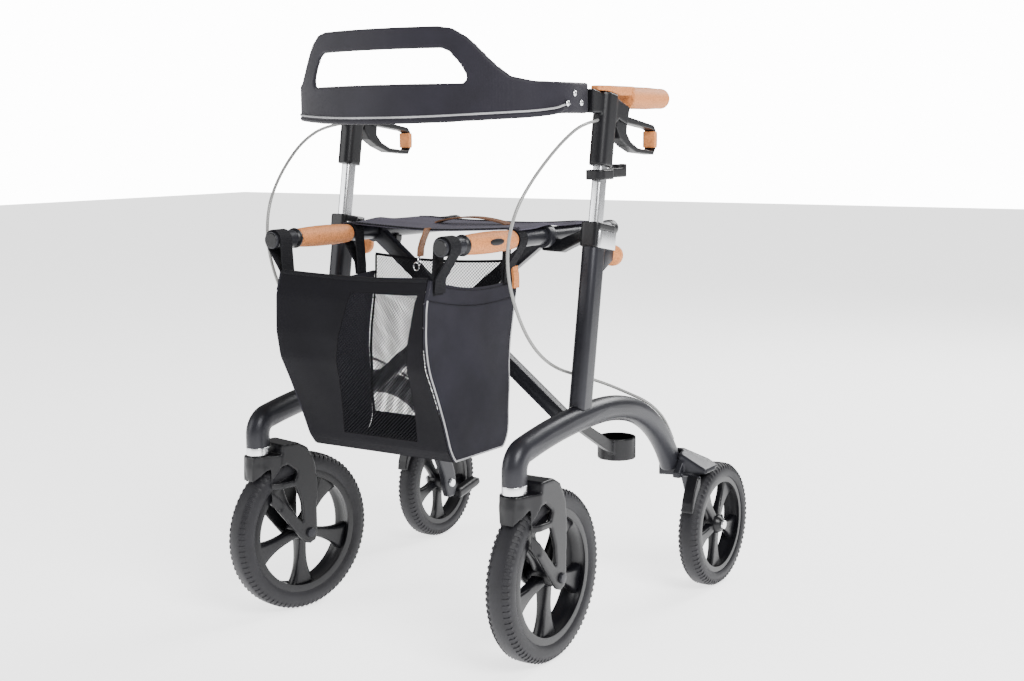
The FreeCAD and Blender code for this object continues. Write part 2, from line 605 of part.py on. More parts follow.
def make_rim(label, x, y, radius, width, seat, ring, hub):
    """A five-spoke rim: ring, flared spokes and a bored hub as wide as its fork or bracket allows."""
    body = new_body(label, x, y, radius)
    edge = f"({width}) / 2 - 3"
    outer = new_sketch(body, "XY_Plane")
    polygon(outer, [(f"-({edge})", ring), (edge, ring), (edge, seat), (f"-({edge})", seat)])
    turn(body, outer)
    core = new_sketch(body, "XY_Plane")
    polygon(core, [(f"-({hub})", "axle_radius + run_gap"), (hub, "axle_radius + run_gap"), (hub, "hub_radius - 3"),
                   (f"{hub} - 4", "hub_radius"), (f"-({hub}) + 4", "hub_radius"), (f"-({hub})", "hub_radius - 3")])
    spoke = new_sketch(body, "YZ_Plane")
    low, high = "-(hub_radius - 2)", f"-({ring} + 3)"
    polygon(spoke, [(-7, low), (7, low), (8, f"-({ring}) * 0.55"), (13, f"-({ring}) * 0.8"), (22, high),
                    (-22, high), (-13, f"-({ring}) * 0.8"), (-8, f"-({ring}) * 0.55")])
    turn(body, core)
    web = extrude(body, spoke, f"({width}) / 2")
    ring_pattern(body, web, 5)
    return body


def make_brake_shoe(side, sign):
    """The brake arm, hung from the bracket's crown, with its shoe facing the tyre's front."""
    body = new_body(f"{side}_brake_shoe", f"{sign} * rear_x", "rear_y", "rear_radius")
    arm = new_sketch(body, "YZ_Plane", f"{sign} * 2")
    polygon(arm, [(-80, 97), (-72.5, 95), (-72, 80), (-79, 66), (-86, 52), (-93, 38), (-103.5, 40), (-101, 56),
                  (-94, 74), (-86, 88)])
    extrude(body, arm, 20)
    hole = new_sketch(body, "YZ_Plane")
    circle(hole, "brake_y", "brake_z", "brake_pin + run_gap")
    cut(body, hole, 60)
    tyre_room = new_sketch(body, "YZ_Plane")
    circle(tyre_room, 0, 0, "rear_radius + 3.6")
    cut(body, tyre_room, 80)
    return body


# ---------------------------------------------------------------- folding cross, rails and soft parts

def make_brace(label, sign, brace_y):
    """One bar of the cross, from its frame's pivot up to the clamp round the opposite seat rail."""
    body = new_body(label, 0, brace_y, 0)
    slope = math.atan2(value("rail_z - pivot_z"), value("pivot_x + rail_x"))
    side_step = vector(math.sin(slope), math.cos(slope), 0) * value("brace_width") / 2
    low = point(f"{sign} * pivot_x", "pivot_z", 0)
    high = point(f"-{sign} * rail_x", "rail_z", 0)
    side_step.x *= sign
    bar = new_sketch(body, "XZ_Plane")
    corners = [low + side_step, high + side_step, high - side_step, low - side_step]
    polygon(bar, [(c.x, c.y) for c in corners])
    extrude(body, bar, "brace_thick")
    for x, z, radius in ((f"{sign} * pivot_x", "pivot_z", 12), (f"-{sign} * rail_x", "rail_z", "rail_radius + 5")):
        boss = new_sketch(body, "XZ_Plane")
        circle(boss, x, z, radius)
        extrude(body, boss, "brace_thick")
    crossing = "pivot_z + (rail_z - pivot_z) * pivot_x / (pivot_x + rail_x)"
    holes = ((f"{sign} * pivot_x", "pivot_z", "pin_radius + run_gap"),
             (f"-{sign} * rail_x", "rail_z", "rail_radius"), (0, crossing, "pin_radius + run_gap"))
    for x, z, radius in holes:
        hole = new_sketch(body, "XZ_Plane")
        circle(hole, x, z, radius)
        cut(body, hole, 40)
    return body


def make_brace_pin():
    """The pivot bolt where the two bars cross, fixed in the right-hand bar."""
    crossing = "pivot_z + (rail_z - pivot_z) * pivot_x / (pivot_x + rail_x)"
    body = new_body("brace_pin", 0, 0, crossing)
    half = new_sketch(body, "YZ_Plane")
    front, back = "brace_y_left - brace_thick / 2", "brace_y_right + brace_thick / 2"
    polygon(half, [(f"{front} - 4.3", 0), (f"{front} - 4.3", 9), (f"{front} - 0.3", 9), (f"{front} - 0.3", "pin_radius"),
                   (f"{back} + 0.3", "pin_radius"), (f"{back} + 0.3", 9), (f"{back} + 4.3", 9), (f"{back} + 4.3", 0)])
    turn(body, half)
    return body


def make_rail(side, sign):
    body = new_body(f"{side}_seat_rail", f"{sign} * rail_x", 0, "rail_z")
    outer = new_sketch(body, "XZ_Plane", "-rail_back")
    circle(outer, 0, 0, "rail_radius")
    extrude(body, outer, "rail_back - rail_front", both=False)
    inner = new_sketch(body, "XZ_Plane", "-rail_back + 4")
    circle(inner, 0, 0, "rail_radius - rail_wall")
    cut(body, inner, "rail_back - rail_front - 8", both=False, back=True)
    return body


def make_carry_grip(side, sign):
    """The barrel-shaped cork sleeve on the front of a seat rail."""
    body = new_body(f"{side}_carry_grip", f"{sign} * rail_x", "(carry_front + carry_back) / 2", "rail_z")
    half = "(carry_back - carry_front) / 2"
    section = new_sketch(body, "YZ_Plane")
    polygon(section, [(f"-{half}", "rail_radius"), (half, "rail_radius"), (half, "carry_radius - 2"),
                      (36, "carry_radius - 0.7"), (12, "carry_radius"), (-12, "carry_radius"),
                      (-36, "carry_radius - 0.7"), (f"-{half}", "carry_radius - 2")])
    turn(body, section)
    return body


bag_front = [(-336, "bag_top"), (-347, 516), (-350, 464), (-343, 426), (-326, 392), (-305, 346), (-288, 302),
             (-276, "bag_floor")]
bag_back = [(-123, 532), (-128, 499), (-139, 449), (-143, 415), (-141, 380), (-143, 346), (-141, 311),
            (-154, "bag_floor")]


def make_bag_side(side, sign):
    """A side panel of the bag with its two hanging straps, inboard of the rail."""
    body = new_body(f"{side}_bag_side", f"{sign} * (bag_half + bag_wall / 2)", 0, 0)
    panel = new_sketch(body, "YZ_Plane")
    polygon(panel, [bag_front[0], (-331, "rail_z + 10"), (-309, "rail_z + 10"), (-300, 545), (-237, 529),
                    (-178, 538), (-173, 572), (-161, 578), (-161, "rail_z + 10"), (-143, "rail_z + 10")]
            + bag_back + bag_front[:0:-1])
    extrude(body, panel, "bag_wall")
    return body


def make_bag_shell():
    """Front, floor and back of the bag, one folded sheet between the side panels."""
    body = new_body("bag_shell", 0, 0, 0)
    sheet = new_sketch(body, "YZ_Plane")
    inner = [(y - 4, z) for y, z in bag_back[:-1]] + [(-158, "bag_floor + 4"), (-272, "bag_floor + 4")]
    polygon(sheet, bag_front + bag_back[::-1] + inner + [(y + 4, z) for y, z in bag_front[-2::-1]])
    extrude(body, sheet, "2 * bag_half - 0.8")
    return body


def make_seat():
    """The seat sling, laid over both rails."""
    body = new_body("seat_fabric", 0, -60, "seat_z")
    sheet = new_sketch(body, "XY_Plane")
    rectangle(sheet, "2 * rail_x + 20", 200)
    extrude(body, sheet, "seat_thick", both=False)
    return body


def make_backrest():
    """The curved backrest band: a wide front arc, two corner arcs and straight ends, with a hand hole."""
    front, side, thick = value("panel_front_radius"), value("panel_side_radius"), value("panel_thick")
    end_x, end_y = value("side_x + panel_thick / 2 - 3.5"), -88
    side_x = end_x - side
    side_y = -122
    front_y = side_y + math.sqrt((front - side) ** 2 - side_x ** 2)
    lean_out = math.atan2(side_x, front_y - side_y)

    def edges(offset):
        """Right end to left end along one face, offset inwards, as lines and arcs."""
        def on(cx, cy, radius, angle, mirror=1):
            return vector(mirror * (cx + radius * math.sin(angle)), cy - radius * math.cos(angle), 0)
        small, large = side - offset, front - offset
        places = [vector(end_x - offset, end_y, 0), on(side_x, side_y, small, math.pi / 2),
                  on(side_x, side_y, small, (math.pi / 2 + lean_out) / 2), on(0, front_y, large, lean_out),
                  on(0, front_y, large, 0)]
        rest = [vector(-p.x, p.y, 0) for p in places[:-1]][::-1]
        places += rest
        wires = [Part.LineSegment(places[0], places[1]).toShape(), Part.Arc(*places[1:4]).toShape(),
                 Part.Arc(*places[3:6]).toShape(), Part.Arc(*places[5:8]).toShape(),
                 Part.LineSegment(places[7], places[8]).toShape()]
        return wires, places
    outer, outer_places = edges(0)
    inner, inner_places = edges(thick)
    caps = [Part.LineSegment(outer_places[i], inner_places[i]).toShape() for i in (0, -1)]
    plan = Part.Face(Part.Wire(Part.__sortEdges__(outer + inner + caps)))
    low, high = value("panel_low"), value("panel_high")
    band = plan.extrude(vector(0, 0, high - low))
    band.translate(vector(0, 0, low))
    shoulder = [(100, high), (118, high - 3), (135, high - 14), (147, high - 26), (170, high - 53),
                (186, high - 68), (210, high - 74.5), (260, high - 76)]
    hem = [(100, low), (174, low + 4), (228, low + 12), (260, low + 17)]
    for mirror in (-1, 1):
        above = [(mirror * x, z) for x, z in shoulder + [(260, high + 10), (100, high + 10)]]
        below = [(mirror * x, z) for x, z in hem + [(260, low - 10), (100, low - 10)]]
        for outline in (above, below):
            corners = [vector(x, -400, z) for x, z in outline]
            wedge = Part.Face(Part.makePolygon(corners + corners[:1])).extrude(vector(0, 400, 0))
            band = band.cut(wedge)
    half_hole = [(132, 811), (136, 816), (135, 824), (128, 837), (115, 853), (104, 858)]
    hole = half_hole + [(-x, z) for x, z in half_hole[::-1]]
    corners = [vector(x, -400, z) for x, z in hole]
    band = band.cut(Part.Face(Part.makePolygon(corners + corners[:1])).extrude(vector(0, 300, 0)))
    feature = doc.addObject("Part::Feature", "backrest_panel")
    feature.Shape = band
    feature.Label = "backrest_panel"
    feature.Placement = FreeCAD.Placement()
    return feature


cable_route = [(236, -64.5, 760), (238, -110, 755), (238, -157, 735), (234, -195, 709), (228, -232, 676),
               (222, -260, 640), (217, -273, 596), (214, -268, 551), (213, -250, 508), (213, -222, 465),
               (212, -184, 431), (211, -138, 407), (211, -90, 392), (213, -42, 378), (219, 4, 362),
               (228, 46, 344), (235, 84, 328), (238, 119, 308), (239, 153, 281), (238, 176, 250)]


def make_cable(side, sign):
    """The brake cable: straight runs joined by arcs as large as the runs allow."""
    radius = value("cable_radius")
    places = [vector(sign * x, y, z) for x, y, z in cable_route]
    pieces, tips, radii = [], [places[0]], []
    for before, here, after in zip(places, places[1:], places[2:]):
        back, ahead = before - here, after - here
        half_turn = (math.pi - back.getAngle(ahead)) / 2
        trim = 0.45 * min(back.Length, ahead.Length)
        arc_radius = trim / math.tan(half_turn)
        radii.append(round(arc_radius))
        back.normalize()
        ahead.normalize()
        start, stop = here + back * trim, here + ahead * trim
        middle = (back + ahead).normalize()
        centre = here + middle * (arc_radius / math.cos(half_turn))
        pieces.append(Part.LineSegment(tips[-1], start).toShape())
        pieces.append(Part.Arc(start, centre - middle * arc_radius, stop).toShape())
        tips.append(stop)
    pieces.append(Part.LineSegment(tips[-1], places[-1]).toShape())
    path = Part.Wire(pieces)
    section = Part.Wire(Part.makeCircle(radius, places[0], places[1] - places[0]))
    tube = path.makePipeShell([section], True, False)
    print(f"{side}_brake_cable: radii {radii}, length {path.Length:.0f},",
          f"volume / (section x length) {tube.Volume / (math.pi * radius ** 2 * path.Length):.4f}")
    feature = doc.addObject("Part::Feature", f"{side}_brake_cable")
    feature.Shape = tube
    feature.Label = f"{side}_brake_cable"
    feature.Placement = FreeCAD.Placement()
    return feature


# ---------------------------------------------------------------- the whole rollator

def steered(body, sign):
    """Turn a caster's piece about the stem by the angle the left caster stands at."""
    if sign > 0:
        return
    angle = math.radians(value("left_steer"))
    stem = point(f"{sign} * side_x", "stem_y", 0)
    offset = body.Placement.Base - stem
    swung = FreeCAD.Rotation(vector(0, 0, 1), -math.degrees(angle)).multVec(offset)
    for axis, place in zip("xyz", (stem + swung)):
        body.setExpression(f"Placement.Base.{axis}", str(place))
    body.Placement = FreeCAD.Placement(stem + swung, FreeCAD.Rotation(vector(0, 0, 1), -math.degrees(angle)))


nodes = []
for side, sign, pivot_y in (("left", -1, "brace_y_right"), ("right", 1, "brace_y_left")):
    arch, tail_end = make_arch(side, sign, pivot_y)
    nodes += [arch, make_post(side, sign), make_collar(side, sign), make_cradle(side, sign),
              make_stem_ring(side, sign), make_rear_bracket(side, sign, tail_end), make_tip_pedal(side, sign),
              make_height_tube(side, sign), make_housing(side, sign), make_grip(side, sign),
              make_lever(side, sign), make_lever_pad(side, sign), make_knob(side, sign),
              make_brake_shoe(side, sign), make_rail(side, sign), make_carry_grip(side, sign),
              make_bag_side(side, sign), make_cable(side, sign)]
    inner_face, outer_face = ("-33.5", "16.8") if sign > 0 else ("-16.8", "33.5")
    nodes.append(make_axle(f"{side}_rear_axle", f"{sign} * rear_x", "rear_y", "rear_radius", inner_face, outer_face))
    nodes += [make_tyre(f"{side}_rear_tyre", f"{sign} * rear_x", "rear_y", "rear_radius", "rear_width", "rear_seat"),
              make_rim(f"{side}_rear_rim", f"{sign} * rear_x", "rear_y", "rear_radius", "rear_width", "rear_seat",
                       "rear_ring", "rear_width / 2 - 0.6")]
    front = (f"{sign} * side_x", "stem_y + trail")
    caster = [make_fork(side, sign), make_stem_pin(side, sign),
              make_axle(f"{side}_front_axle", *front, "front_radius", "-fork_width / 2", "fork_width / 2"),
              make_tyre(f"{side}_front_tyre", *front, "front_radius", "front_width", "front_seat"),
              make_rim(f"{side}_front_rim", *front, "front_radius", "front_width", "front_seat", "front_ring",
                       "fork_gap / 2 - 0.6")]
    for piece in caster:
        steered(piece, sign)
    nodes += caster
nodes += [make_brace("right_brace", -1, "brace_y_right"), make_brace("left_brace", 1, "brace_y_left"),
          make_brace_pin(), make_bag_shell(), make_seat(), make_backrest(), make_cup(), make_clip()]
doc.recompute()

for item in doc.Objects:
    if "Invalid" in item.State or "Error" in item.State:
        raise RuntimeError(f"{item.Label} failed: {item.State}")
for node in nodes:
    if node.Shape.isNull() or not node.Shape.isValid() or len(node.Shape.Solids) != 1:
        raise RuntimeError(f"{node.Label}: {len(node.Shape.Solids)} solids, valid {node.Shape.isValid()}")

os.makedirs("parts", exist_ok=True)
for node in nodes:
    node.Shape.exportStep(f"parts/{node.Label}.step")
print(len(nodes), "nodes written, arch tail at", [round(v, 1) for v in tail_end])
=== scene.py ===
import json
import math

import bmesh
import bpy
import numpy as np
from mathutils import Matrix, Vector


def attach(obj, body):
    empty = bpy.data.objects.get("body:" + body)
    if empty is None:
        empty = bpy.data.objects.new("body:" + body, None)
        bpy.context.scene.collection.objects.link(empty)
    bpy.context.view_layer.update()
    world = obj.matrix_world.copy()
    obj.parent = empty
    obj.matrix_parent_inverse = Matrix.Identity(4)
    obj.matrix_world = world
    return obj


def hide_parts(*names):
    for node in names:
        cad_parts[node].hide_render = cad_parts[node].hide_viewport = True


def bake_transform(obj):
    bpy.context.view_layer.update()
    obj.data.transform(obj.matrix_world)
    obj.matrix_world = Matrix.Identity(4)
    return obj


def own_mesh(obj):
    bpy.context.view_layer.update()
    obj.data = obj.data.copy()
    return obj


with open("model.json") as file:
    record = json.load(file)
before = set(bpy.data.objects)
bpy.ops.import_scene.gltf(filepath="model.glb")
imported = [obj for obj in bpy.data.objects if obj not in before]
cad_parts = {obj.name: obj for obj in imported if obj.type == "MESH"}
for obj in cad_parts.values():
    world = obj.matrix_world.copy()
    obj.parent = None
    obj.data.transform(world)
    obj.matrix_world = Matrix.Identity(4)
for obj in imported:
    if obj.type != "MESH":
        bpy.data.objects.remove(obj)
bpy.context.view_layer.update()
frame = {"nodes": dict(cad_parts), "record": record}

record = frame["record"]
bodyOf = {n: body for body, names in record["behaviour"]["bodies"].items() for n in names}
slotOf = {row["node"]: row["material_slot"] for row in record["subparts"]}
jointAt = {j["name"]: j for j in record["behaviour"]["joints"]}
sides = {"left": -1, "right": 1}
mm = 0.001


# Materials: a few layers of noise on object coordinates, then one function for each finish

def startMaterial(name, colour, roughness, metallic=0.0):
    material = bpy.data.materials.new(name)
    material.use_nodes = True
    shader = material.node_tree.nodes["Principled BSDF"]
    shader.inputs["Base Color"].default_value = (*colour, 1)
    shader.inputs["Roughness"].default_value = roughness
    shader.inputs["Metallic"].default_value = metallic
    shader.inputs["Specular IOR Level"].default_value = 0.3
    return material, material.node_tree, shader


def coordinates(tree, stretch=(1, 1, 1)):
    source = tree.nodes.new("ShaderNodeTexCoord")
    mapping = tree.nodes.new("ShaderNodeMapping")
    mapping.inputs["Scale"].default_value = stretch
    tree.links.new(source.outputs["Object"], mapping.inputs["Vector"])
    return mapping.outputs["Vector"]


def noise(tree, place, scale, detail=3.0):
    node = tree.nodes.new("ShaderNodeTexNoise")
    node.inputs["Scale"].default_value = scale
    node.inputs["Detail"].default_value = detail
    tree.links.new(place, node.inputs["Vector"])
    return node.outputs["Fac"]


def ramp(tree, value, low, high, first, second):
    node = tree.nodes.new("ShaderNodeValToRGB")
    node.color_ramp.elements[0].position = low
    node.color_ramp.elements[1].position = high
    node.color_ramp.elements[0].color = (*first, 1)
    node.color_ramp.elements[1].color = (*second, 1)
    tree.links.new(value, node.inputs["Fac"])
    return node.outputs["Color"]


def mapTo(tree, value, low, high):
    node = tree.nodes.new("ShaderNodeMapRange")
    node.inputs["To Min"].default_value = low
    node.inputs["To Max"].default_value = high
    tree.links.new(value, node.inputs["Value"])
    return node.outputs["Result"]


def bump(tree, shader, height, distance):
    node = tree.nodes.new("ShaderNodeBump")
    node.inputs["Distance"].default_value = distance
    tree.links.new(height, node.inputs["Height"])
    tree.links.new(node.outputs["Normal"], shader.inputs["Normal"])


def shaded(colour, factor):
    return tuple(min(1, c * factor) for c in colour)


def grainy(name, colour, roughness, grain, depth, patch=14, change=0.18, metallic=0.0):
    # Moulded or painted: soft patches of tone, fine grain in the gloss and the surface.
    material, tree, shader = startMaterial(name, colour, roughness, metallic)
    place = coordinates(tree)
    pale, dark = shaded(colour, 1 + change), shaded(colour, 1 - change)
    tone = ramp(tree, noise(tree, place, patch), 0.3, 0.7, dark, pale)
    tree.links.new(tone, shader.inputs["Base Color"])
    fine = noise(tree, place, grain, 2)
    tree.links.new(mapTo(tree, fine, roughness - 0.08, roughness + 0.1), shader.inputs["Roughness"])
    bump(tree, shader, fine, depth)
    return material


def brushedMetal(name, colour, roughness):
    material, tree, shader = startMaterial(name, colour, roughness, 1.0)
    lines = noise(tree, coordinates(tree, (1, 1, 0.03)), 1400, 2)
    tree.links.new(mapTo(tree, lines, roughness - 0.06, roughness + 0.12), shader.inputs["Roughness"])
    bump(tree, shader, lines, 0.00002)
    return material


def corkMaterial(name, colour):
    # Pressed cork: pale and dark crumbs in a warm binder.
    material, tree, shader = startMaterial(name, colour, 0.62)
    place = coordinates(tree)
    crumbs = tree.nodes.new("ShaderNodeTexVoronoi")
    crumbs.inputs["Scale"].default_value = 420
    tree.links.new(place, crumbs.inputs["Vector"])
    tint = ramp(tree, crumbs.outputs["Distance"], 0.15, 0.75, shaded(colour, 1.12), shaded(colour, 0.72))
    flecks = ramp(tree, noise(tree, place, 260, 3), 0.62, 0.72, (1, 1, 1), (0.32, 0.24, 0.2))
    mix = tree.nodes.new("ShaderNodeMix")
    mix.data_type = "RGBA"
    mix.blend_type = "MULTIPLY"
    mix.inputs["Factor"].default_value = 0.7
    tree.links.new(tint, mix.inputs["A"])
    tree.links.new(flecks, mix.inputs["B"])
    tree.links.new(mix.outputs["Result"], shader.inputs["Base Color"])
    bump(tree, shader, noise(tree, place, 500, 4), 0.00025)
    return material


def wovenCloth(name, colour, thread, depth, sheen=0.03, roughness=0.8):
    # Two crossed sets of threads, a soft mottle and a little sheen.
    material, tree, shader = startMaterial(name, colour, roughness)
    shader.inputs["Sheen Weight"].default_value = sheen
    shader.inputs["Specular IOR Level"].default_value = 0.12
    place = coordinates(tree)
    heights = []
    for turn in ((0, 0, math.radians(45)), (math.radians(90), 0, math.radians(45))):
        mapping = tree.nodes.new("ShaderNodeMapping")
        mapping.inputs["Rotation"].default_value = turn
        tree.links.new(place, mapping.inputs["Vector"])
        wave = tree.nodes.new("ShaderNodeTexWave")
        wave.inputs["Scale"].default_value = 0.314 / thread
        wave.inputs["Distortion"].default_value = 0.6
        tree.links.new(mapping.outputs["Vector"], wave.inputs["Vector"])
        heights.append(wave.outputs["Fac"])
    weave = tree.nodes.new("ShaderNodeMath")
    weave.operation = "MULTIPLY"
    tree.links.new(heights[0], weave.inputs[0])
    tree.links.new(heights[1], weave.inputs[1])
    tone = ramp(tree, noise(tree, place, 22, 4), 0.3, 0.72, shaded(colour, 0.84), shaded(colour, 1.18))
    tree.links.new(tone, shader.inputs["Base Color"])
    bump(tree, shader, weave.outputs["Value"], depth)
    return material


def sleeveMaterial(name, colour):
    material = grainy(name, colour, 0.3, 900, 0.00003, change=0.06)
    material.node_tree.nodes["Principled BSDF"].inputs["Coat Weight"].default_value = 0.3
    return material


finishes = {
    "paint": grainy("graphite powder coat", (0.015, 0.0152, 0.019), 0.34, 1900, 0.00006, metallic=0.25),
    "alloy": brushedMetal("satin alloy", (0.74, 0.75, 0.77), 0.24),
    "plastic": grainy("black moulded plastic", (0.004, 0.004, 0.0052), 0.36, 1500, 0.00005),
    "wheelPlastic": grainy("black wheel plastic", (0.0035, 0.0035, 0.0048), 0.3, 1300, 0.00004),
    "cork": corkMaterial("pressed cork", (0.58, 0.21, 0.065)),
    "tyre": grainy("dark soft rubber", (0.0085, 0.0083, 0.0105), 0.55, 800, 0.00012, patch=40, change=0.22),
    "bagSide": wovenCloth("charcoal bag cloth", (0.013, 0.0125, 0.0175), 0.0011, 0.00012),
    "bagFront": wovenCloth("black bag cloth", (0.0022, 0.002, 0.0036), 0.0011, 0.00012),
    "webbing": wovenCloth("black webbing", (0.0035, 0.0035, 0.005), 0.0016, 0.0003),
    "net": wovenCloth("black net thread", (0.004, 0.004, 0.006), 0.0009, 0.0001),
    "piping": wovenCloth("pale piping", (0.3, 0.3, 0.31), 0.0009, 0.0001, roughness=0.5),
    "sling": wovenCloth("grey sling cloth", (0.062, 0.057, 0.078), 0.0014, 0.00018),
    "foam": wovenCloth("soft backrest cover", (0.0125, 0.0115, 0.0165), 0.0008, 0.00006, sheen=0.08,
                       roughness=0.5),
    "leather": grainy("brown leather", (0.17, 0.075, 0.035), 0.5, 420, 0.0002, patch=60, change=0.3),
    "sleeve": sleeveMaterial("grey cable sleeve", (0.19, 0.19, 0.185)),
}
print("materials:", len(finishes))


# Helpers for pieces

def addObject(name, mesh):
    piece = bpy.data.objects.new(name, mesh)
    bpy.context.collection.objects.link(piece)
    return piece


def smoothed(mesh, angle=35):
    for face in mesh.polygons:
        face.use_smooth = True
    mesh.set_sharp_from_angle(angle=math.radians(angle))
    return mesh


def meshFrom(name, points, faces, angle=35, recalculate=True):
    mesh = bpy.data.meshes.new(name)
    mesh.from_pydata([tuple(p) for p in points], [], faces)
    work = bmesh.new()
    work.from_mesh(mesh)
    bmesh.ops.remove_doubles(work, verts=work.verts, dist=1e-6)
    if recalculate:
        bmesh.ops.recalc_face_normals(work, faces=work.faces)
    work.to_mesh(mesh)
    work.free()
    return smoothed(mesh, angle)


def finished(piece, body, finish, slotName, *nodes):
    piece.data.materials.clear()
    piece.data.materials.append(finishes[finish])
    if body:
        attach(piece, body)
    if nodes:
        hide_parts(*nodes)
    return piece


def baked(piece, name=None):
    # The object's mesh with its modifiers applied, as a plain mesh.
    evaluated = piece.evaluated_get(bpy.context.evaluated_depsgraph_get())
    mesh = bpy.data.meshes.new_from_object(evaluated)
    old = piece.data
    if piece.type == "MESH":
        piece.modifiers.clear()
        piece.data = mesh
        return piece
    bpy.data.objects.remove(piece)
    bpy.data.curves.remove(old)
    return addObject(name, mesh)


def lathe(profile, steps):
    # Points and faces of a closed profile of (along, radius) pairs turned about X, in metres.
    points, faces = [], []
    count = len(profile)
    for i in range(steps):
        turn = 2 * math.pi * i / steps
        points += [(a * mm, r * mm * math.sin(turn), r * mm * math.cos(turn)) for a, r in profile]
        following = (i + 1) % steps
        faces += [(i * count + k, i * count + (k + 1) % count, following * count + (k + 1) % count,
                   following * count + k) for k in range(count)]
    return points, faces


def placed(mesh, matrix):
    mesh.transform(matrix)
    mesh.update()


def wheelPlace(joint):
    # The matrix that takes a wheel modelled about X at the origin to its place on the frame.
    row = jointAt[joint]
    axis = Vector(row["axis"]).normalized()
    up = Vector((0, 0, 1))
    across = up.cross(axis)
    turn = Matrix((axis, across, up)).transposed().to_4x4()
    return Matrix.Translation(Vector(row["pos_m"])) @ turn


def copyOfNode(name, node):
    mesh = frame["nodes"][node].data.copy()
    work = bmesh.new()
    work.from_mesh(mesh)
    bmesh.ops.remove_doubles(work, verts=work.verts, dist=2e-5)
    work.to_mesh(mesh)
    work.free()
    mesh.name = name
    return addObject(name, mesh)


def moulded(node, finish, voxel, passes, name=None):
    # A moulding with soft edges, grown from the CAD solid: an even skin that is then relaxed.
    piece = copyOfNode(name or f"{node}Moulding", node)
    skin = piece.modifiers.new("skin", "REMESH")
    skin.mode = "VOXEL"
    skin.voxel_size = voxel * mm
    rounding = piece.modifiers.new("rounding", "SMOOTH")
    rounding.factor = 0.5
    rounding.iterations = passes
    baked(piece)
    smoothed(piece.data, 80)
    return finished(piece, bodyOf[node], finish, slotOf[node], node)


def crisp(node, finish, edge):
    # A metal part with its solid's true faces and a fine bevel along each edge.
    piece = copyOfNode(f"{node}Metal", node)
    work = bmesh.new()
    work.from_mesh(piece.data)
    bmesh.ops.dissolve_limit(work, angle_limit=math.radians(0.6), verts=work.verts, edges=work.edges)
    work.to_mesh(piece.data)
    work.free()
    bevel = piece.modifiers.new("edges", "BEVEL")
    bevel.width = edge * mm
    bevel.segments = 3
    bevel.limit_method = "ANGLE"
    bevel.angle_limit = math.radians(32)
    baked(piece)
    smoothed(piece.data, 40)
    return finished(piece, bodyOf[node], finish, slotOf[node], node)


def smoothLine(name, route):
    # A smooth NURBS line with the route's points (mm) as its control points.
    curve = bpy.data.curves.new(name, "CURVE")
    curve.dimensions = "3D"
    curve.resolution_u = 10
    spline = curve.splines.new("NURBS")
    spline.points.add(len(route) - 1)
    for point, place in zip(spline.points, route):
        point.co = (*(c * mm for c in place), 1)
    spline.order_u = 3
    spline.use_endpoint_u = True
    return curve


def tube(name, route, radius):
    # A round tube along the smooth line.
    curve = smoothLine(name, route)
    curve.bevel_depth = radius * mm
    curve.bevel_resolution = 4
    curve.use_fill_caps = True
    piece = baked(addObject(name, curve), name)
    smoothed(piece.data, 60)
    return piece


def centreLine(route):
    # The points of the smooth line itself, read from the same curve with no bevel.
    piece = baked(addObject("centreLine", smoothLine("centreLine", route)), "centreLine")
    places = [tuple(v.co) for v in piece.data.vertices]
    bpy.data.meshes.remove(piece.data)
    return places


def band(name, line, across, thick):
    # A flat strap: a line of centres (mm) and one crossways direction, given thickness.
    points, faces = [], []
    side = Vector(across)
    line = [Vector(p) for p in line]
    for i, place in enumerate(line):
        before, after = line[max(i - 1, 0)], line[min(i + 1, len(line) - 1)]
        normal = (after - before).cross(side).normalized() * thick / 2
        for u, n in ((-0.5, -1), (0.5, -1), (0.5, 1), (-0.5, 1)):
            points.append((place + side * u + normal * n) * mm)
    for i in range(len(line) - 1):
        for k in range(4):
            a, b = i * 4 + k, i * 4 + (k + 1) % 4
            faces.append((a, b, b + 4, a + 4))
    last = (len(line) - 1) * 4
    faces += [(3, 2, 1, 0), (last, last + 1, last + 2, last + 3)]
    return addObject(name, meshFrom(name, points, faces, 40))


def joined(name, pieces):
    # One object from several plain meshes.
    work = bmesh.new()
    for piece in pieces:
        work.from_mesh(piece.data)
        bpy.data.objects.remove(piece)
    mesh = bpy.data.meshes.new(name)
    work.to_mesh(mesh)
    work.free()
    return addObject(name, smoothed(mesh, 40))


# Geometry nodes: copies round a ring, and copies along a line

def socket(tree, name, kind, value=None):
    item = tree.interface.new_socket(name, in_out="INPUT", socket_type=kind)
    if value is not None:
        item.default_value = value


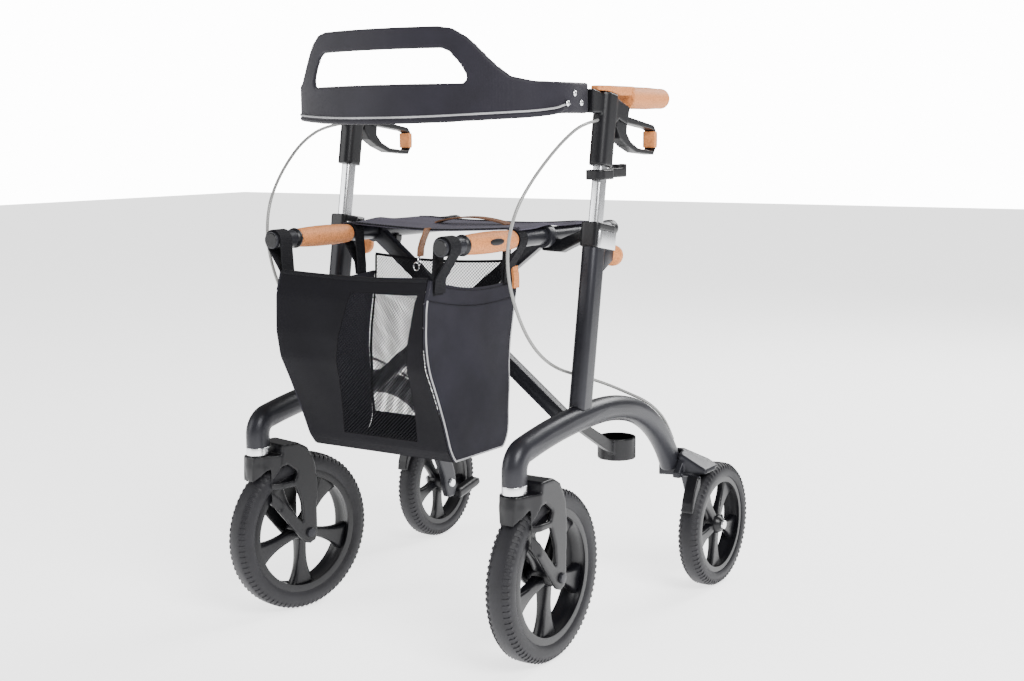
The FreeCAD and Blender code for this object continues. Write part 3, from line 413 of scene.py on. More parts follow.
def ringTree():
    # Copies of the incoming mesh round a circle about Z, each turned to face outwards.
    tree = bpy.data.node_groups.new("copiesRoundRing", "GeometryNodeTree")
    socket(tree, "Piece", "NodeSocketGeometry")
    socket(tree, "Count", "NodeSocketInt", 12)
    socket(tree, "Radius", "NodeSocketFloat", 0.1)
    socket(tree, "Finish", "NodeSocketMaterial")
    tree.interface.new_socket("Result", in_out="OUTPUT", socket_type="NodeSocketGeometry")
    add = tree.nodes.new
    link = tree.links.new
    start, end = add("NodeGroupInput"), add("NodeGroupOutput")
    circle, copies = add("GeometryNodeMeshCircle"), add("GeometryNodeInstanceOnPoints")
    place, aim = add("GeometryNodeInputPosition"), add("FunctionNodeAlignRotationToVector")
    solid, paint = add("GeometryNodeRealizeInstances"), add("GeometryNodeSetMaterial")
    aim.axis = "X"
    aim.pivot_axis = "Z"
    link(start.outputs["Count"], circle.inputs["Vertices"])
    link(start.outputs["Radius"], circle.inputs["Radius"])
    link(circle.outputs["Mesh"], copies.inputs["Points"])
    link(start.outputs["Piece"], copies.inputs["Instance"])
    link(place.outputs["Position"], aim.inputs["Vector"])
    link(aim.outputs["Rotation"], copies.inputs["Rotation"])
    link(copies.outputs["Instances"], solid.inputs["Geometry"])
    link(solid.outputs["Geometry"], paint.inputs["Geometry"])
    link(start.outputs["Finish"], paint.inputs["Material"])
    link(paint.outputs["Geometry"], end.inputs["Result"])
    return tree


def lineTree():
    # Small stitches along the incoming line, spaced evenly and laid along it.
    tree = bpy.data.node_groups.new("stitchesAlongLine", "GeometryNodeTree")
    socket(tree, "Line", "NodeSocketGeometry")
    socket(tree, "Spacing", "NodeSocketFloat", 0.005)
    socket(tree, "Length", "NodeSocketFloat", 0.003)
    socket(tree, "Thickness", "NodeSocketFloat", 0.0008)
    socket(tree, "Finish", "NodeSocketMaterial")
    tree.interface.new_socket("Result", in_out="OUTPUT", socket_type="NodeSocketGeometry")
    add = tree.nodes.new
    link = tree.links.new
    start, end = add("NodeGroupInput"), add("NodeGroupOutput")
    curve, points = add("GeometryNodeMeshToCurve"), add("GeometryNodeCurveToPoints")
    size, stitch = add("ShaderNodeCombineXYZ"), add("GeometryNodeMeshCube")
    copies, solid = add("GeometryNodeInstanceOnPoints"), add("GeometryNodeRealizeInstances")
    paint = add("GeometryNodeSetMaterial")
    points.mode = "LENGTH"
    link(start.outputs["Line"], curve.inputs["Mesh"])
    link(curve.outputs["Curve"], points.inputs["Curve"])
    link(start.outputs["Spacing"], points.inputs["Length"])
    link(start.outputs["Thickness"], size.inputs["X"])
    link(start.outputs["Thickness"], size.inputs["Y"])
    link(start.outputs["Length"], size.inputs["Z"])
    link(size.outputs["Vector"], stitch.inputs["Size"])
    link(points.outputs["Points"], copies.inputs["Points"])
    link(stitch.outputs["Mesh"], copies.inputs["Instance"])
    link(points.outputs["Rotation"], copies.inputs["Rotation"])
    link(copies.outputs["Instances"], solid.inputs["Geometry"])
    link(solid.outputs["Geometry"], paint.inputs["Geometry"])
    link(start.outputs["Finish"], paint.inputs["Material"])
    link(paint.outputs["Geometry"], end.inputs["Result"])
    return tree


ringCopies, lineStitches = ringTree(), lineTree()


def withTree(piece, tree, values):
    modifier = piece.modifiers.new("copies", "NODES")
    modifier.node_group = tree
    for item in tree.interface.items_tree:
        if item.in_out == "INPUT" and item.name in values:
            modifier[item.identifier] = values[item.name]
    return baked(piece)


def stitched(name, line, body, slotName, spacing, length):
    # A row of black stitches along a line in millimetres.
    mesh = bpy.data.meshes.new(name)
    mesh.from_pydata([[c * mm for c in p] for p in line], [(i, i + 1) for i in range(len(line) - 1)], [])
    values = {"Spacing": spacing * mm, "Length": length * mm, "Thickness": 0.7 * mm,
              "Finish": finishes["webbing"]}
    piece = withTree(addObject(name, mesh), lineStitches, values)
    return finished(piece, body, "webbing", slotName)


# Wheels: profiles are (along the axle, radius) pairs

def mirrored(half):
    return half + [(-along, radius) for along, radius in reversed(half)]


wheels = {
    "front": {
        "tyre": mirrored([(-13, 97.2), (-17, 97.2), (-19.2, 100), (-20, 105), (-20, 111), (-18.8, 116),
                          (-16, 120.2), (-11, 123.2), (-5, 124.4)]),
        "ring": [(-17.2, 86.5), (-17.8, 92), (-17, 97.6), (-14, 98.4), (14, 98.4), (17, 97.6), (17.8, 92),
                 (17.2, 86.5), (13, 86), (8, 88.5), (0, 89.5), (-8, 88.5), (-13, 86)],
        "hub": mirrored([(-22.4, 4.1), (-22.4, 10), (-20, 12.5), (-12, 15), (-8, 17)]),
        "lugs": 84, "lugRadius": 119.8, "lugAcross": 14.8,
        "spokeEnd": 88.5, "spokeThick": 24, "hubRadius": 13},
    "rear": {
        "tyre": mirrored([(-11, 79.2), (-15, 79.2), (-16.6, 82), (-17, 87), (-16, 93), (-13.4, 97.6),
                          (-9, 100.6), (-4, 101.6)]),
        "ring": [(-14, 70.5), (-14.6, 75), (-14, 79.6), (-11, 80.4), (11, 80.4), (14, 79.6), (14.6, 75),
                 (14, 70.5), (10, 70), (6, 72), (-6, 72), (-10, 70)],
        "hub": mirrored([(-16.3, 4.1), (-16.3, 10), (-13, 13), (-7, 16)]),
        "lugs": 70, "lugRadius": 97.1, "lugAcross": 12.2,
        "spokeEnd": 72.5, "spokeThick": 18, "hubRadius": 12},
}
spoke = {"count": 5, "half": 7.2, "taper": 1.6, "flare": 15, "flarePower": 3.2, "waist": 0.28,
         "sideRound": 0.55, "faceRound": 0.5, "hollow": 0.16, "steps": 14, "around": 16}
lug = {"long": 4.6, "wide": 2.5, "tall": 2.2, "topWide": 0.72, "topLead": 0.82, "topTrail": 0.6,
       "shear": 0.75}
ringToWheel = Matrix.Rotation(math.radians(90), 4, "Y")


def spokeMesh(size):
    # One flared spoke along +X, thick across the wheel, hollowed a little on its faces.
    points, faces = [], []
    start, end = size["hubRadius"], size["spokeEnd"]
    steps, around = spoke["steps"], spoke["around"]
    for i in range(steps + 1):
        share = i / steps
        radius = start + (end - start) * share
        half = spoke["half"] + spoke["taper"] * share + spoke["flare"] * share ** spoke["flarePower"]
        thick = size["spokeThick"] / 2 * (1 - spoke["waist"] * math.sin(math.pi * share * 0.9))
        for k in range(around):
            turn = 2 * math.pi * k / around
            c, s = math.cos(turn), math.sin(turn)
            y = half * math.copysign(abs(c) ** spoke["sideRound"], c)
            hollow = 1 - spoke["hollow"] * (1 - abs(c)) ** 2
            z = thick * math.copysign(abs(s) ** spoke["faceRound"], s) * hollow
            points.append((radius * mm, y * mm, z * mm))
    for i in range(steps):
        for k in range(around):
            a, b = i * around + k, i * around + (k + 1) % around
            faces.append((a, b, b + around, a + around))
    faces += [tuple(range(around))[::-1], tuple(range(steps * around, (steps + 1) * around))]
    return addObject("spoke", meshFrom("spoke", points, faces, 50))


def lugMesh():
    # A tapered, sheared tread block: across the tyre is Z, outwards is X.
    long, wide, tall = lug["long"], lug["wide"], lug["tall"]
    topWide, lead, trail = wide * lug["topWide"], long * lug["topLead"], long * lug["topTrail"]
    base = [(-tall, -wide, -long), (-tall, wide, -long), (-tall, wide, long), (-tall, -wide, long)]
    top = [(tall, -topWide, -lead), (tall, topWide, -lead), (tall, topWide, trail), (tall, -topWide, trail)]
    faces = [(3, 2, 1, 0), (4, 5, 6, 7), (0, 1, 5, 4), (1, 2, 6, 5), (2, 3, 7, 6), (3, 0, 4, 7)]
    points = [Vector((x + lug["shear"] * z, y, z)) * mm for x, y, z in base + top]
    return addObject("lug", meshFrom("lug", points, faces, 20))


def lugRing(size, shoulder):
    # The lugs of one shoulder, turned half a step from those of the other.
    values = {"Count": size["lugs"], "Radius": size["lugRadius"] * mm, "Finish": finishes["tyre"]}
    ring = withTree(lugMesh(), ringCopies, values)
    tilt = Matrix.Rotation(math.pi / size["lugs"] * shoulder / 2, 4, "X")
    shift = Matrix.Translation((shoulder * size["lugAcross"] * mm, 0, 0))
    flip = Matrix.Scale(-shoulder, 4, (1, 0, 0))
    placed(ring.data, tilt @ shift @ flip @ ringToWheel)
    if shoulder > 0:
        ring.data.flip_normals()
    return ring


def buildWheel(side, end):
    size = wheels[end]
    place = wheelPlace(f"{side}_{end}_roll")
    body = f"{side}_{end}_wheel"
    tyreName, rimName = f"{side}_{end}_tyre", f"{side}_{end}_rim"
    tyre = addObject(f"{side}{end.title()}Tyre", meshFrom("tyre", *lathe(size["tyre"], 120), 50))
    placed(tyre.data, place)
    finished(tyre, body, "tyre", slotOf[tyreName], tyreName)
    tread = joined(f"{side}{end.title()}Tread", [lugRing(size, shoulder) for shoulder in (-1, 1)])
    placed(tread.data, place)
    finished(tread, body, "tyre", slotOf[tyreName])
    # The spokes are drawn from the axle outwards, so their ring has next to no radius.
    values = {"Count": spoke["count"], "Radius": 0.00001, "Finish": finishes["wheelPlastic"]}
    spokes = withTree(spokeMesh(size), ringCopies, values)
    placed(spokes.data, ringToWheel)
    solids = [addObject("ring", meshFrom("ring", *lathe(size["ring"], 96), 40)),
              addObject("hub", meshFrom("hub", *lathe(size["hub"], 48), 40)), spokes]
    rim = joined(f"{side}{end.title()}Rim", solids)
    placed(rim.data, place)
    finished(rim, body, "wheelPlastic", slotOf[rimName], rimName)


for side in sides:
    for end in wheels:
        buildWheel(side, end)
print("wheels")


# Frame, casters and handles: a moulding has a finish, a voxel size (mm) and relaxing passes, a metal part
# has a finish and an edge bevel (mm)

mouldings = {
    "fork": ("plastic", 1.7, 7), "rear_bracket": ("paint", 1.7, 7), "tip_pedal": ("plastic", 1.4, 6),
    "brake_shoe": ("plastic", 1.4, 5), "housing": ("plastic", 1.5, 7), "grip": ("cork", 1.3, 7),
    "brake_lever": ("plastic", 1.0, 7), "lever_pad": ("cork", 0.9, 5), "cradle": ("plastic", 1.4, 5),
    "knob": ("cork", 0.9, 4), "carry_grip": ("cork", 1.1, 10),
}
metals = {
    "arch": ("paint", 0.8), "post": ("paint", 0.8), "collar": ("alloy", 1.2), "stem_ring": ("alloy", 0.8),
    "rear_axle": ("alloy", 0.6), "height_tube": ("alloy", 0.5), "caster_pin": ("alloy", 0.5),
    "front_axle": ("paint", 0.6), "seat_rail": ("paint", 0.8), "brace": ("paint", 1.2),
}
for side in sides:
    for kind, (finish, voxel, passes) in mouldings.items():
        moulded(f"{side}_{kind}", finish, voxel, passes)
    for kind, (finish, edge) in metals.items():
        crisp(f"{side}_{kind}", finish, edge)
crisp("brace_pin", "alloy", 0.8)
moulded("cane_cup", "plastic", 1.4, 5)
moulded("cane_clip", "plastic", 1.2, 5)
print("frame and handles")


# Backrest

backrest = {"frontRadius": 300, "frontY": 16.5, "sideRadius": 120, "sideX": 115, "sideY": -122,
            "endX": 231.9, "endY": -90, "endRise": 20,
            "rise": [(0, 0), (50, 0.2), (100, 1.5), (150, 4), (186, 6), (208, 7.5), (222, 10), (229, 12.5),
                     (231.9, 17)],
            "piping": {"out": 1.2, "low": 765, "radius": 1.5},
            "lip": {"out": -1.5, "low": 759.5, "radius": 3.6},
            "rivets": [(-127, 797), (-146, 783), (-109, 784)], "rivetX": 235.2, "rivetRadius": 4.2}


def backrestAt(x, out=0.0):
    # The point of the band's outer face at x, moved outwards, in plan.
    front, side = backrest["frontRadius"], backrest["sideRadius"]
    reach = front / (front - side) * backrest["sideX"]
    if abs(x) <= reach:
        turn = math.asin(x / front)
        return (front + out) * math.sin(turn), backrest["frontY"] - (front + out) * math.cos(turn)
    turn = math.asin(min(1, (abs(x) - backrest["sideX"]) / side))
    return (math.copysign(backrest["sideX"] + (side + out) * math.sin(turn), x),
            backrest["sideY"] - (side + out) * math.cos(turn))


def edgeTube(name, size):
    # A tube along the band's lower edge, which rises towards both ends.
    out, low, end = size["out"], size["low"], backrest["endX"] + size["out"]
    half = backrest["rise"]
    route = [(*backrestAt(x, out), low + up) for x, up in [(-x, up) for x, up in half[:0:-1]] + half]
    first, last = ((sign * end, backrest["endY"], low + backrest["endRise"]) for sign in (-1, 1))
    return tube(name, [first, *route, last], size["radius"])


def rivetHead(place, outwards):
    # A domed rivet facing along +X or -X.
    radius = backrest["rivetRadius"]
    profile = [(0, 0.05), (0, radius), (0.7, radius), (1.6, radius * 0.8), (2.2, radius * 0.45), (2.4, 0.05)]
    piece = addObject("rivet", meshFrom("rivet", *lathe(profile, 24), 50))
    placed(piece.data, Matrix.Translation(Vector(place) * mm) @ Matrix.Scale(outwards, 4, (1, 0, 0)))
    if outwards < 0:
        piece.data.flip_normals()
    return piece


def buildBackrest():
    cover = moulded("backrest_panel", "foam", 1.9, 9, "backrestBand")
    piping = edgeTube("backrestPiping", backrest["piping"])
    finished(piping, "left_handle", "piping", "foam_cover")
    lip = edgeTube("backrestLip", backrest["lip"])
    finished(lip, "left_handle", "foam", "foam_cover")
    for piece in (cover, piping, lip):
        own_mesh(piece)
    for side, sign in sides.items():
        heads = [rivetHead((sign * backrest["rivetX"], y, z), sign) for y, z in backrest["rivets"]]
        rivets = joined(f"{side}BackrestRivets", heads)
        finished(rivets, f"{side}_handle", "alloy", "bright_metal")


buildBackrest()
print("backrest")


# Bag: its edges are (height, y) pairs, and low is the height of its floor sheet

bag = {"half": 131, "top": 548, "backTop": 532, "low": 287, "hollow": 11, "taper": 5, "bulge": 7, "sag": 9.0,
       "dip": 5, "cloth": 1.6, "sideCloth": 2.2, "floorCloth": 2.4, "floorSag": 3.0,
       "netThread": 0.6, "netCell": 2.7, "netTuck": 3}
frontEdge = [(548, -336), (516, -347), (464, -349.5), (426, -343), (392, -326), (346, -305), (302, -288),
             (286, -276)]
backEdge = [(562, -121), (532, -123), (499, -128), (449, -139), (415, -143), (380, -141), (346, -143),
            (311, -141), (295, -146), (286, -154)]


def edgeY(edge, z):
    heights, places = zip(*reversed(edge))
    return float(np.interp(z, heights, places))


def bagTop(share):
    # Height of the side panel's hollowed top edge.
    return bag["top"] + (bag["backTop"] - bag["top"]) * share - bag["hollow"] * math.sin(math.pi * share)


def sidePoint(sign, share, height, out=0.0):
    # A point of a side panel: share runs from front to back, height from floor to top.
    z = bag["low"] + (bagTop(share) - bag["low"]) * height
    front = edgeY(frontEdge, z)
    y = front + share * (edgeY(backEdge, z) - front)
    swell = math.sin(math.pi * share) * math.sin(math.pi * min(1, height * 1.05)) * bag["bulge"]
    crease = 1.1 * math.sin(share * 9 + height * 5) * math.sin(math.pi * height) * math.sin(math.pi * share)
    x = bag["half"] + 1 + swell + crease + out - bag["taper"] * (1 - height) ** 2
    return sign * x, y, z


def grid(name, columns, rows, place, angle=60):
    points = [Vector(place(i / columns, k / rows)) * mm for k in range(rows + 1) for i in range(columns + 1)]
    faces = []
    for k in range(rows):
        for i in range(columns):
            a = k * (columns + 1) + i
            faces.append((a, a + 1, a + columns + 2, a + columns + 1))
    return addObject(name, meshFrom(name, points, faces, angle, False))


def thickened(piece, thick):
    solid = piece.modifiers.new("cloth", "SOLIDIFY")
    solid.thickness = thick * mm
    solid.offset = 0
    baked(piece)
    smoothed(piece.data, 50)
    return piece


windows = {  # low and high: the height, left edge and right edge of the net window's ends
    "front": {"edge": frontEdge, "inward": 1, "top": 548, "low": (313, -57, 76), "high": (528, -4, 117)},
    "back": {"edge": backEdge, "inward": -1, "top": 560, "low": (313, -122, 96), "high": (556, -128, 112)},
}


def sheetHalf(height):
    return bag["half"] - 1 - bag["taper"] * (1 - height) ** 2


def sheetHeight(window, z):
    return (z - bag["low"]) / (window["top"] - bag["low"])


def sheetPoint(window, share, height):
    # A point of the front or back sheet; share runs across, height from floor to top.
    z = bag["low"] + (window["top"] - bag["low"]) * height
    slack = bag["sag"] * math.sin(math.pi * share) * height ** 2
    fold = 1.2 * math.sin(share * 14 + height * 7) * math.sin(math.pi * height)
    dip = bag["dip"] * math.sin(math.pi * share) * height ** 3
    x = sheetHalf(height) * (2 * share - 1)
    return x, edgeY(window["edge"], z) + window["inward"] * (slack + fold), z - dip


def windowX(window, z):
    (lowZ, lowLeft, lowRight), (highZ, highLeft, highRight) = window["low"], window["high"]
    share = min(1, max(0, (z - lowZ) / (highZ - lowZ)))
    return lowLeft + (highLeft - lowLeft) * share, lowRight + (highRight - lowRight) * share


def sheetAt(window, x, z):
    # The point of the front or back sheet at a flat x and z.
    height = sheetHeight(window, z)
    return sheetPoint(window, (x / sheetHalf(height) + 1) / 2, height)


def netWindow(name, window):
    # A knotted net: a slanted grid of real threads, tucked a little way under the cloth.
    tuck = bag["netTuck"]
    lowZ, highZ = window["low"][0] - tuck, window["high"][0] + tuck
    wide = int((window["high"][2] - window["high"][1] + 2 * tuck) / bag["netCell"])
    tall = int((highZ - lowZ) / bag["netCell"])
    points, faces = [], []

    def spot(i, k):
        z = lowZ + (highZ - lowZ) * k / tall
        left, right = windowX(window, z)
        return Vector(sheetAt(window, left - tuck + (right - left + 2 * tuck) * i / wide, z)) * mm
    for k in range(tall):
        for i in range(wide):
            if (i + k) % 2:
                continue
            first = len(points)
            for di, dk in ((0, -1), (1, 0), (0, 1), (-1, 0)):
                points.append(spot(min(max(i + di, 0), wide), min(max(k + dk, 0), tall)))
            faces.append((first, first + 1, first + 2, first + 3))
    piece = addObject(name, meshFrom(name, points, faces, 60, False))
    thread = piece.modifiers.new("threads", "WIREFRAME")
    thread.thickness = 2 * bag["netThread"] * mm
    thread.use_boundary = True
    baked(piece)
    return piece


cells = {"left": 13, "window": 31, "right": 7, "below": 7, "beside": 39, "above": 5}


def inSteps(stops, counts):
    # Evenly spaced values between each pair of stops, with every stop in it once.
    values = [stops[0]]
    for start, end, count in zip(stops, stops[1:], counts):
        values += list(np.linspace(start, end, count + 1)[1:])
    return values


def clothWithWindow(name, window):
    # The sheet between the side panels, left out where the net is.
    levels = inSteps([bag["low"], window["low"][0], window["high"][0], window["top"]],
                     [cells["below"], cells["beside"], cells["above"]])
    points = []
    for z in levels:
        half = sheetHalf(sheetHeight(window, z))
        across = inSteps([-half, *windowX(window, z), half], [cells["left"], cells["window"], cells["right"]])
        points += [Vector(sheetAt(window, x, z)) * mm for x in across]
    columns = cells["left"] + cells["window"] + cells["right"]
    openColumns = range(cells["left"], cells["left"] + cells["window"])
    openRows = range(cells["below"], cells["below"] + cells["beside"])
    faces = []
    for k in range(len(levels) - 1):
        for i in range(columns):
            if i not in openColumns or k not in openRows:
                a = k * (columns + 1) + i
                faces.append((a, a + 1, a + columns + 2, a + columns + 1))
    piece = addObject(name, meshFrom(name, points, faces, 60, False))
    return thickened(piece, bag["cloth"])


def bagFloor():
    front, back = edgeY(frontEdge, bag["low"]), edgeY(backEdge, bag["low"])
    half = bag["half"] - 1 - bag["taper"]

    def place(u, v):
        sag = bag["floorSag"] * math.sin(math.pi * u) * math.sin(math.pi * v)
        return (2 * u - 1) * half, front + (back - front) * v, bag["low"] - sag
    return thickened(grid("bagFloor", 30, 16, place), bag["floorCloth"])


def buildBagShell():
    sheets = [clothWithWindow(f"{label}Sheet", window) for label, window in windows.items()]
    shell = joined("bagShell", [*sheets, bagFloor()])
    finished(shell, "left_bag", "bagFront", "bag_cloth", "bag_shell")
    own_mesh(shell)
    for label, window in windows.items():
        net = netWindow(f"{label}BagNet", window)
        finished(net, "left_bag", "net", "bag_cloth")
        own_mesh(net)
    hem = tube("bagTopHem", [sheetPoint(windows["front"], u, 1.0) for u in np.linspace(0, 1, 12)], 3.4)
    finished(hem, "left_bag", "webbing", "bag_cloth")
    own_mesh(hem)


rails = {"x": 151, "height": 592}
straps = {"low": 526, "radius": 14.4, "thick": 1.9,
          "places": [("Front", -319, 24), ("Back", -152, 20)]}  # name, y and width


def strapLoop(name, sign, y, wide):
    # Webbing that rises from the side panel, passes over the rail and comes back down.
    rail, radius, low = rails["x"], straps["radius"], straps["low"]
    inner, outer = sign * (bag["half"] + 2.5), sign * (bag["half"] + 8)
    line = [(inner, y, low), (inner, y, 545), (sign * (rail - radius), y, 588)]
    for k in range(9):
        turn = math.pi * k / 8
        line.append((sign * (rail - radius * math.cos(turn)), y, rails["height"] + radius * math.sin(turn)))
    line += [(sign * (rail + radius - 2), y, 584), (outer, y, 548), (outer - sign * 2, y, low + 3)]
    return band(name, line, (0, wide, 0), straps["thick"])

def buildBagSide(side, sign):
    body = f"{side}_bag"
    panel = grid(f"{side}BagPanel", 34, 40, lambda u, v: sidePoint(sign, u, v))
    thickened(panel, bag["sideCloth"])
    finished(panel, body, "bagSide", "bag_cloth", f"{side}_bag_side")
    flap = thickened(grid(f"{side}BagFlap", 34, 6, lambda u, v: sidePoint(sign, u, 0.9 + 0.1 * v, 1.4)), 2.0)
    finished(flap, body, "bagSide", "bag_cloth")
    shares = np.linspace(0, 1, 15)
    frontLine = [sidePoint(sign, 0.015, v, 1.0) for v in shares[::-1]]
    underLine = [sidePoint(sign, u, 0.0, 0.6) for u in shares[1:]]
    backLine = [sidePoint(sign, 1.0, v, 0.6) for v in shares[1:]]
    piping = tube(f"{side}BagPiping", frontLine + underLine + backLine, 1.4)
    finished(piping, body, "piping", "bag_cloth")
    for at in (0.9, 0.985):
        line = [sidePoint(sign, u, at, 2.9) for u in np.linspace(0.03, 0.97, 30)]
        stitched(f"{side}BagStitches{int(at * 100)}", line, body, "bag_cloth", 4.4, 3)
    for label, y, wide in straps["places"]:
        strap = strapLoop(f"{side}BagStrap{label}", sign, y, wide)
        finished(strap, body, "webbing", "bag_cloth")


buildBagShell()
for side, sign in sides.items():
    buildBagSide(side, sign)
print("bag")


# Seat sling, pull strap, tag and tab

seat = {"half": 163, "front": -160, "back": 40, "height": 608.5, "thick": 1.8, "sag": 7,
        "lift": 4, "liftY": -84, "liftLong": 26, "liftWide": 0.16,
        "rimFrom": 0.93, "rimWide": 0.07, "rimDrop": 2.5, "wrinkle": 0.8}
pullStrap = {"half": 66, "y": -42, "height": 604.5, "arch": 9.5, "wide": 20, "thick": 2.2, "steps": 24}
tag = {"line": [(4, -164, 604), (1, -166, 596), (-4, -166, 586), (-9, -165, 574), (-11, -164, 562)],
       "wide": 13, "thick": 3.2, "ringRadius": 6, "wire": 0.9,
       "rings": [((-13, -164, 555), 20), ((-19, -164, 546), 80)]}  # centre and turn in degrees
tab = {"line": [(140.5, -140, 552), (142, -139, 541), (142, -138, 530), (141, -137, 520)],
       "wide": 14, "thick": 3.4}


def seatPoint(u, v, lift=0.0):
    # A point of the sling: it sags between the rails and is lifted a little beside each cradle.
    x = seat["half"] * (2 * u - 1)
    y = seat["front"] + (seat["back"] - seat["front"]) * v
    edge = abs(2 * u - 1)
    beside = math.exp(-((y - seat["liftY"]) / seat["liftLong"]) ** 2)
    beside *= math.exp(-((edge - seat["rimFrom"]) / seat["liftWide"]) ** 2)
    rim = seat["rimDrop"] * max(0, edge - seat["rimFrom"]) / seat["rimWide"]
    z = seat["height"] - seat["sag"] * (1 - edge ** 2) + seat["lift"] * beside - rim
    z += seat["wrinkle"] * math.sin(9 * u + 4 * v) * (1 - edge)
    return x, y, z + lift


def buildSeat():
    sling = grid("seatSling", 60, 34, seatPoint)
    thickened(sling, seat["thick"])
    finished(sling, "left_bag", "sling", "sling_cloth", "seat_fabric")
    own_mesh(sling)
    hems = [tube("hem", [seatPoint(u, v, 0.4) for u in np.linspace(0, 1, 17)], 1.7) for v in (0.008, 0.992)]
    hem = joined("seatHems", hems)
    finished(hem, "left_bag", "webbing", "sling_cloth")
    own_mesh(hem)
    for v, number in ((0.06, 1), (0.94, 2)):
        line = [seatPoint(u, v, 1.3) for u in np.linspace(0.03, 0.97, 40)]
        stitches = stitched(f"seatStitches{number}", line, "left_bag", "sling_cloth", 5, 3.2)
        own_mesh(stitches)


def buildPullStrap():
    # The leather strap over the middle of the seat that is pulled up to fold the frame.
    line = []
    for k in range(pullStrap["steps"] + 1):
        share = k / pullStrap["steps"]
        rise = pullStrap["arch"] * math.sin(math.pi * share) ** 0.8
        line.append((pullStrap["half"] * (2 * share - 1), pullStrap["y"], pullStrap["height"] + rise))
    strap = band("foldPullStrap", line, (0, pullStrap["wide"], 0), pullStrap["thick"])
    finished(strap, "left_bag", "leather", "sling_cloth")
    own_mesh(strap)


def wireRing(centre, turn):
    radius, wire = tag["ringRadius"], tag["wire"]
    profile = [(wire * math.cos(a), radius + wire * math.sin(a)) for a in np.linspace(0, 2 * math.pi, 9)[:-1]]
    piece = addObject("ring", meshFrom("ring", *lathe(profile, 28), 60))
    placed(piece.data, Matrix.Translation(Vector(centre) * mm) @ Matrix.Rotation(math.radians(turn), 4, "Z"))
    return piece


def buildTag():
    # The leather tag that hangs from the front of the seat, with two wire rings below it.
    leather = band("seatTag", tag["line"], (0, tag["wide"], 0), tag["thick"])
    finished(leather, "left_bag", "leather", "sling_cloth")
    rings = joined("seatTagRings", [wireRing(centre, turn) for centre, turn in tag["rings"]])
    finished(rings, "left_bag", "alloy", "bright_metal")
    for piece in (leather, rings):
        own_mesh(piece)
    cork = band("bagCorkTab", tab["line"], (0, tab["wide"], 0), tab["thick"])
    finished(cork, "right_bag", "cork", "cork")


buildSeat()
buildPullStrap()
buildTag()
print("seat")


# Rail ends and carry grip insets

railTrim = {"caps": [(-336, 1, 12.7, 10), (-290, 1, 15, 8), (129, -1, 13.2, 20)],  # y, way, radius, length
            "inset": [(-18, 0.05), (-16, 2.6), (-9, 4.4), (0, 5), (9, 4.4), (16, 2.6), (18, 0.05)],
            "insetAt": (166, -221, 593), "insetFlat": 0.22}


def endCap(place, way, radius, length):
    profile = [(0, 0.05), (0, radius - 3), (2.5, radius - 0.6), (5, radius), (length - 2, radius),
               (length, radius - 1), (length, 0.05)]
    piece = addObject("cap", meshFrom("cap", *lathe(profile, 40), 40))
    turn = Matrix.Rotation(math.radians(90 * way), 4, "Z")
    placed(piece.data, Matrix.Translation(Vector(place) * mm) @ turn)
    return piece


def buildRailTrim(side, sign):
    body = f"{side}_bar"
    caps = [endCap((sign * rails["x"], y, rails["height"]), *size) for y, *size in railTrim["caps"]]
    finished(joined(f"{side}RailCaps", caps), body, "plastic", "black_plastic")
    inset = addObject(f"{side}GripInset", meshFrom("inset", *lathe(railTrim["inset"], 28), 60))
    x, y, z = railTrim["insetAt"]
    flat = Matrix.Diagonal((1, railTrim["insetFlat"], 1, 1))
    turn = Matrix.Rotation(math.radians(90), 4, "Z")
    placed(inset.data, Matrix.Translation(Vector((sign * x, y, z)) * mm) @ turn @ flat)
    finished(inset, body, "plastic", "black_plastic")


for side, sign in sides.items():
    buildRailTrim(side, sign)
print("trim")


# Brake cables

cableRoute = [(236, -64.5, 760), (238, -110, 755), (238, -157, 735), (234, -195, 709), (228, -232, 676),
              (222, -260, 640), (217, -273, 596), (214, -268, 551), (213, -250, 508), (213, -222, 465),
              (212, -184, 431), (211, -138, 407), (211, -90, 392), (213, -42, 378), (219, 4, 362),
              (228, 46, 344), (235, 84, 328), (238, 119, 308), (239, 153, 281), (238, 176, 250)]
cable = {"radius": 2.4, "length": 0.889}


def buildCable(side, sign):
    route = [(sign * x, y, z) for x, y, z in cableRoute]
    piece = tube(f"{side}BrakeCable", route, cable["radius"])
    finished(piece, None, "sleeve", "cable_sleeve", f"{side}_brake_cable")
    centreLine(route)
    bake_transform(piece)


for side, sign in sides.items():
    buildCable(side, sign)
print("cables")


# Floor, light and camera

stage = {"floor": 12, "sky": 0.32, "backdrop": 14.0, "glow": 2.0, "middle": (0, 0, 0.45)}
lamps = {"key": ((2.6, -1.4, 2.6), 1.6, 190), "fill": ((-2.4, -2.6, 1.6), 2.2, 70),
         "rim": ((0.6, 2.8, 2.4), 1.6, 120)}  # place, size and power
floorMesh = bpy.data.meshes.new("floor")
reach = stage["floor"]
floorMesh.from_pydata([(-reach, -reach, 0), (reach, -reach, 0), (reach, reach, 0), (-reach, reach, 0)], [],
                      [(0, 1, 2, 3)])
floor = addObject("floor", floorMesh)
floorMaterial, floorTree, floorShader = startMaterial("pale floor", (0.95, 0.95, 0.95), 0.6)
floorShader.inputs["Emission Color"].default_value = (1, 1, 1, 1)
floorShader.inputs["Emission Strength"].default_value = stage["glow"]
floorMesh.materials.append(floorMaterial)

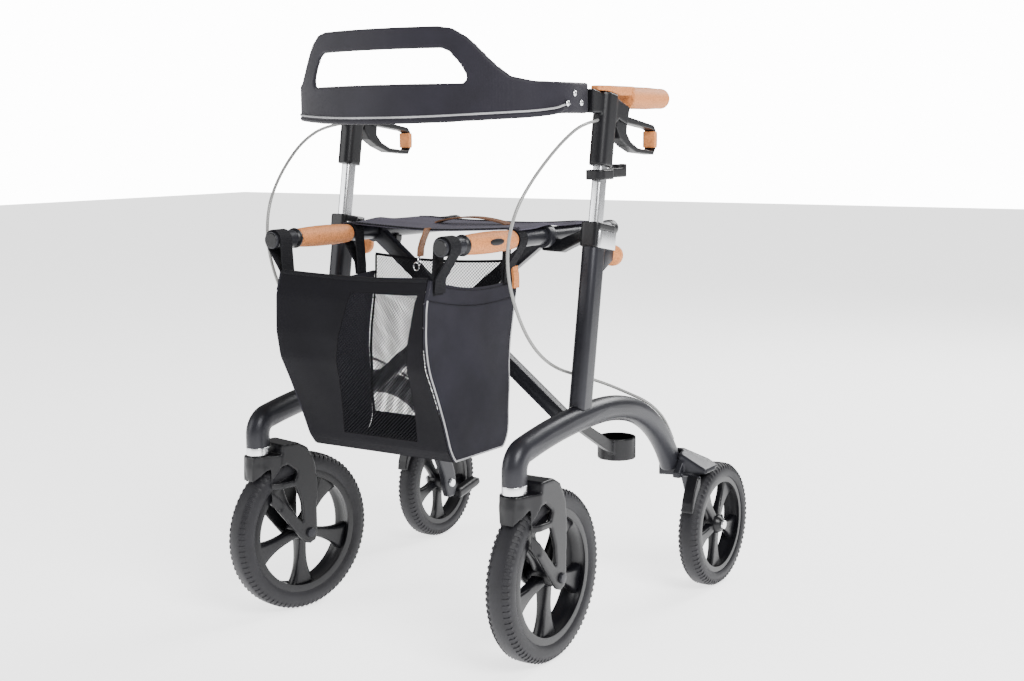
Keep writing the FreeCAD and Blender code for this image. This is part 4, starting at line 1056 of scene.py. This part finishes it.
world = bpy.data.worlds.new("studio")
bpy.context.scene.world = world
world.use_nodes = True
sky = world.node_tree
lit = sky.nodes["Background"]
seen = sky.nodes.new("ShaderNodeBackground")
which = sky.nodes.new("ShaderNodeLightPath")
either = sky.nodes.new("ShaderNodeMixShader")
lit.inputs["Strength"].default_value = stage["sky"]
seen.inputs["Strength"].default_value = stage["backdrop"]
for light in (lit, seen):
    light.inputs["Color"].default_value = (1, 1, 1, 1)
sky.links.new(which.outputs["Is Camera Ray"], either.inputs["Fac"])
sky.links.new(lit.outputs["Background"], either.inputs[1])
sky.links.new(seen.outputs["Background"], either.inputs[2])
sky.links.new(either.outputs["Shader"], sky.nodes["World Output"].inputs["Surface"])


def areaLight(name, place, size, power):
    light = bpy.data.lights.new(name, "AREA")
    light.size = size
    light.energy = power
    lamp = bpy.data.objects.new(name, light)
    bpy.context.collection.objects.link(lamp)
    direction = Vector(stage["middle"]) - Vector(place)
    lamp.rotation_euler = direction.to_track_quat("-Z", "Y").to_euler()
    lamp.location = place


for name, values in lamps.items():
    areaLight(name, *values)

view = {"place": (1.2941, -1.8965, 0.7445), "azimuth": 33.404, "pitch": 8.165, "roll": -0.423, "lens": 51.15}


def addCamera():
    azimuth, pitch, roll = (math.radians(view[k]) for k in ("azimuth", "pitch", "roll"))
    forward = Vector((-math.sin(azimuth) * math.cos(pitch), math.cos(azimuth) * math.cos(pitch),
                      -math.sin(pitch)))
    right = Vector((math.cos(azimuth), math.sin(azimuth), 0))
    up = right.cross(forward)
    rolledRight = right * math.cos(roll) + up * math.sin(roll)
    rolledUp = up * math.cos(roll) - right * math.sin(roll)
    lens = bpy.data.cameras.new("camera")
    lens.lens = view["lens"]
    lens.sensor_width = 36
    camera = bpy.data.objects.new("camera", lens)
    bpy.context.collection.objects.link(camera)
    turn = Matrix((rolledRight, rolledUp, -forward)).transposed().to_4x4()
    camera.matrix_world = Matrix.Translation(Vector(view["place"])) @ turn
    bpy.context.scene.camera = camera


addCamera()
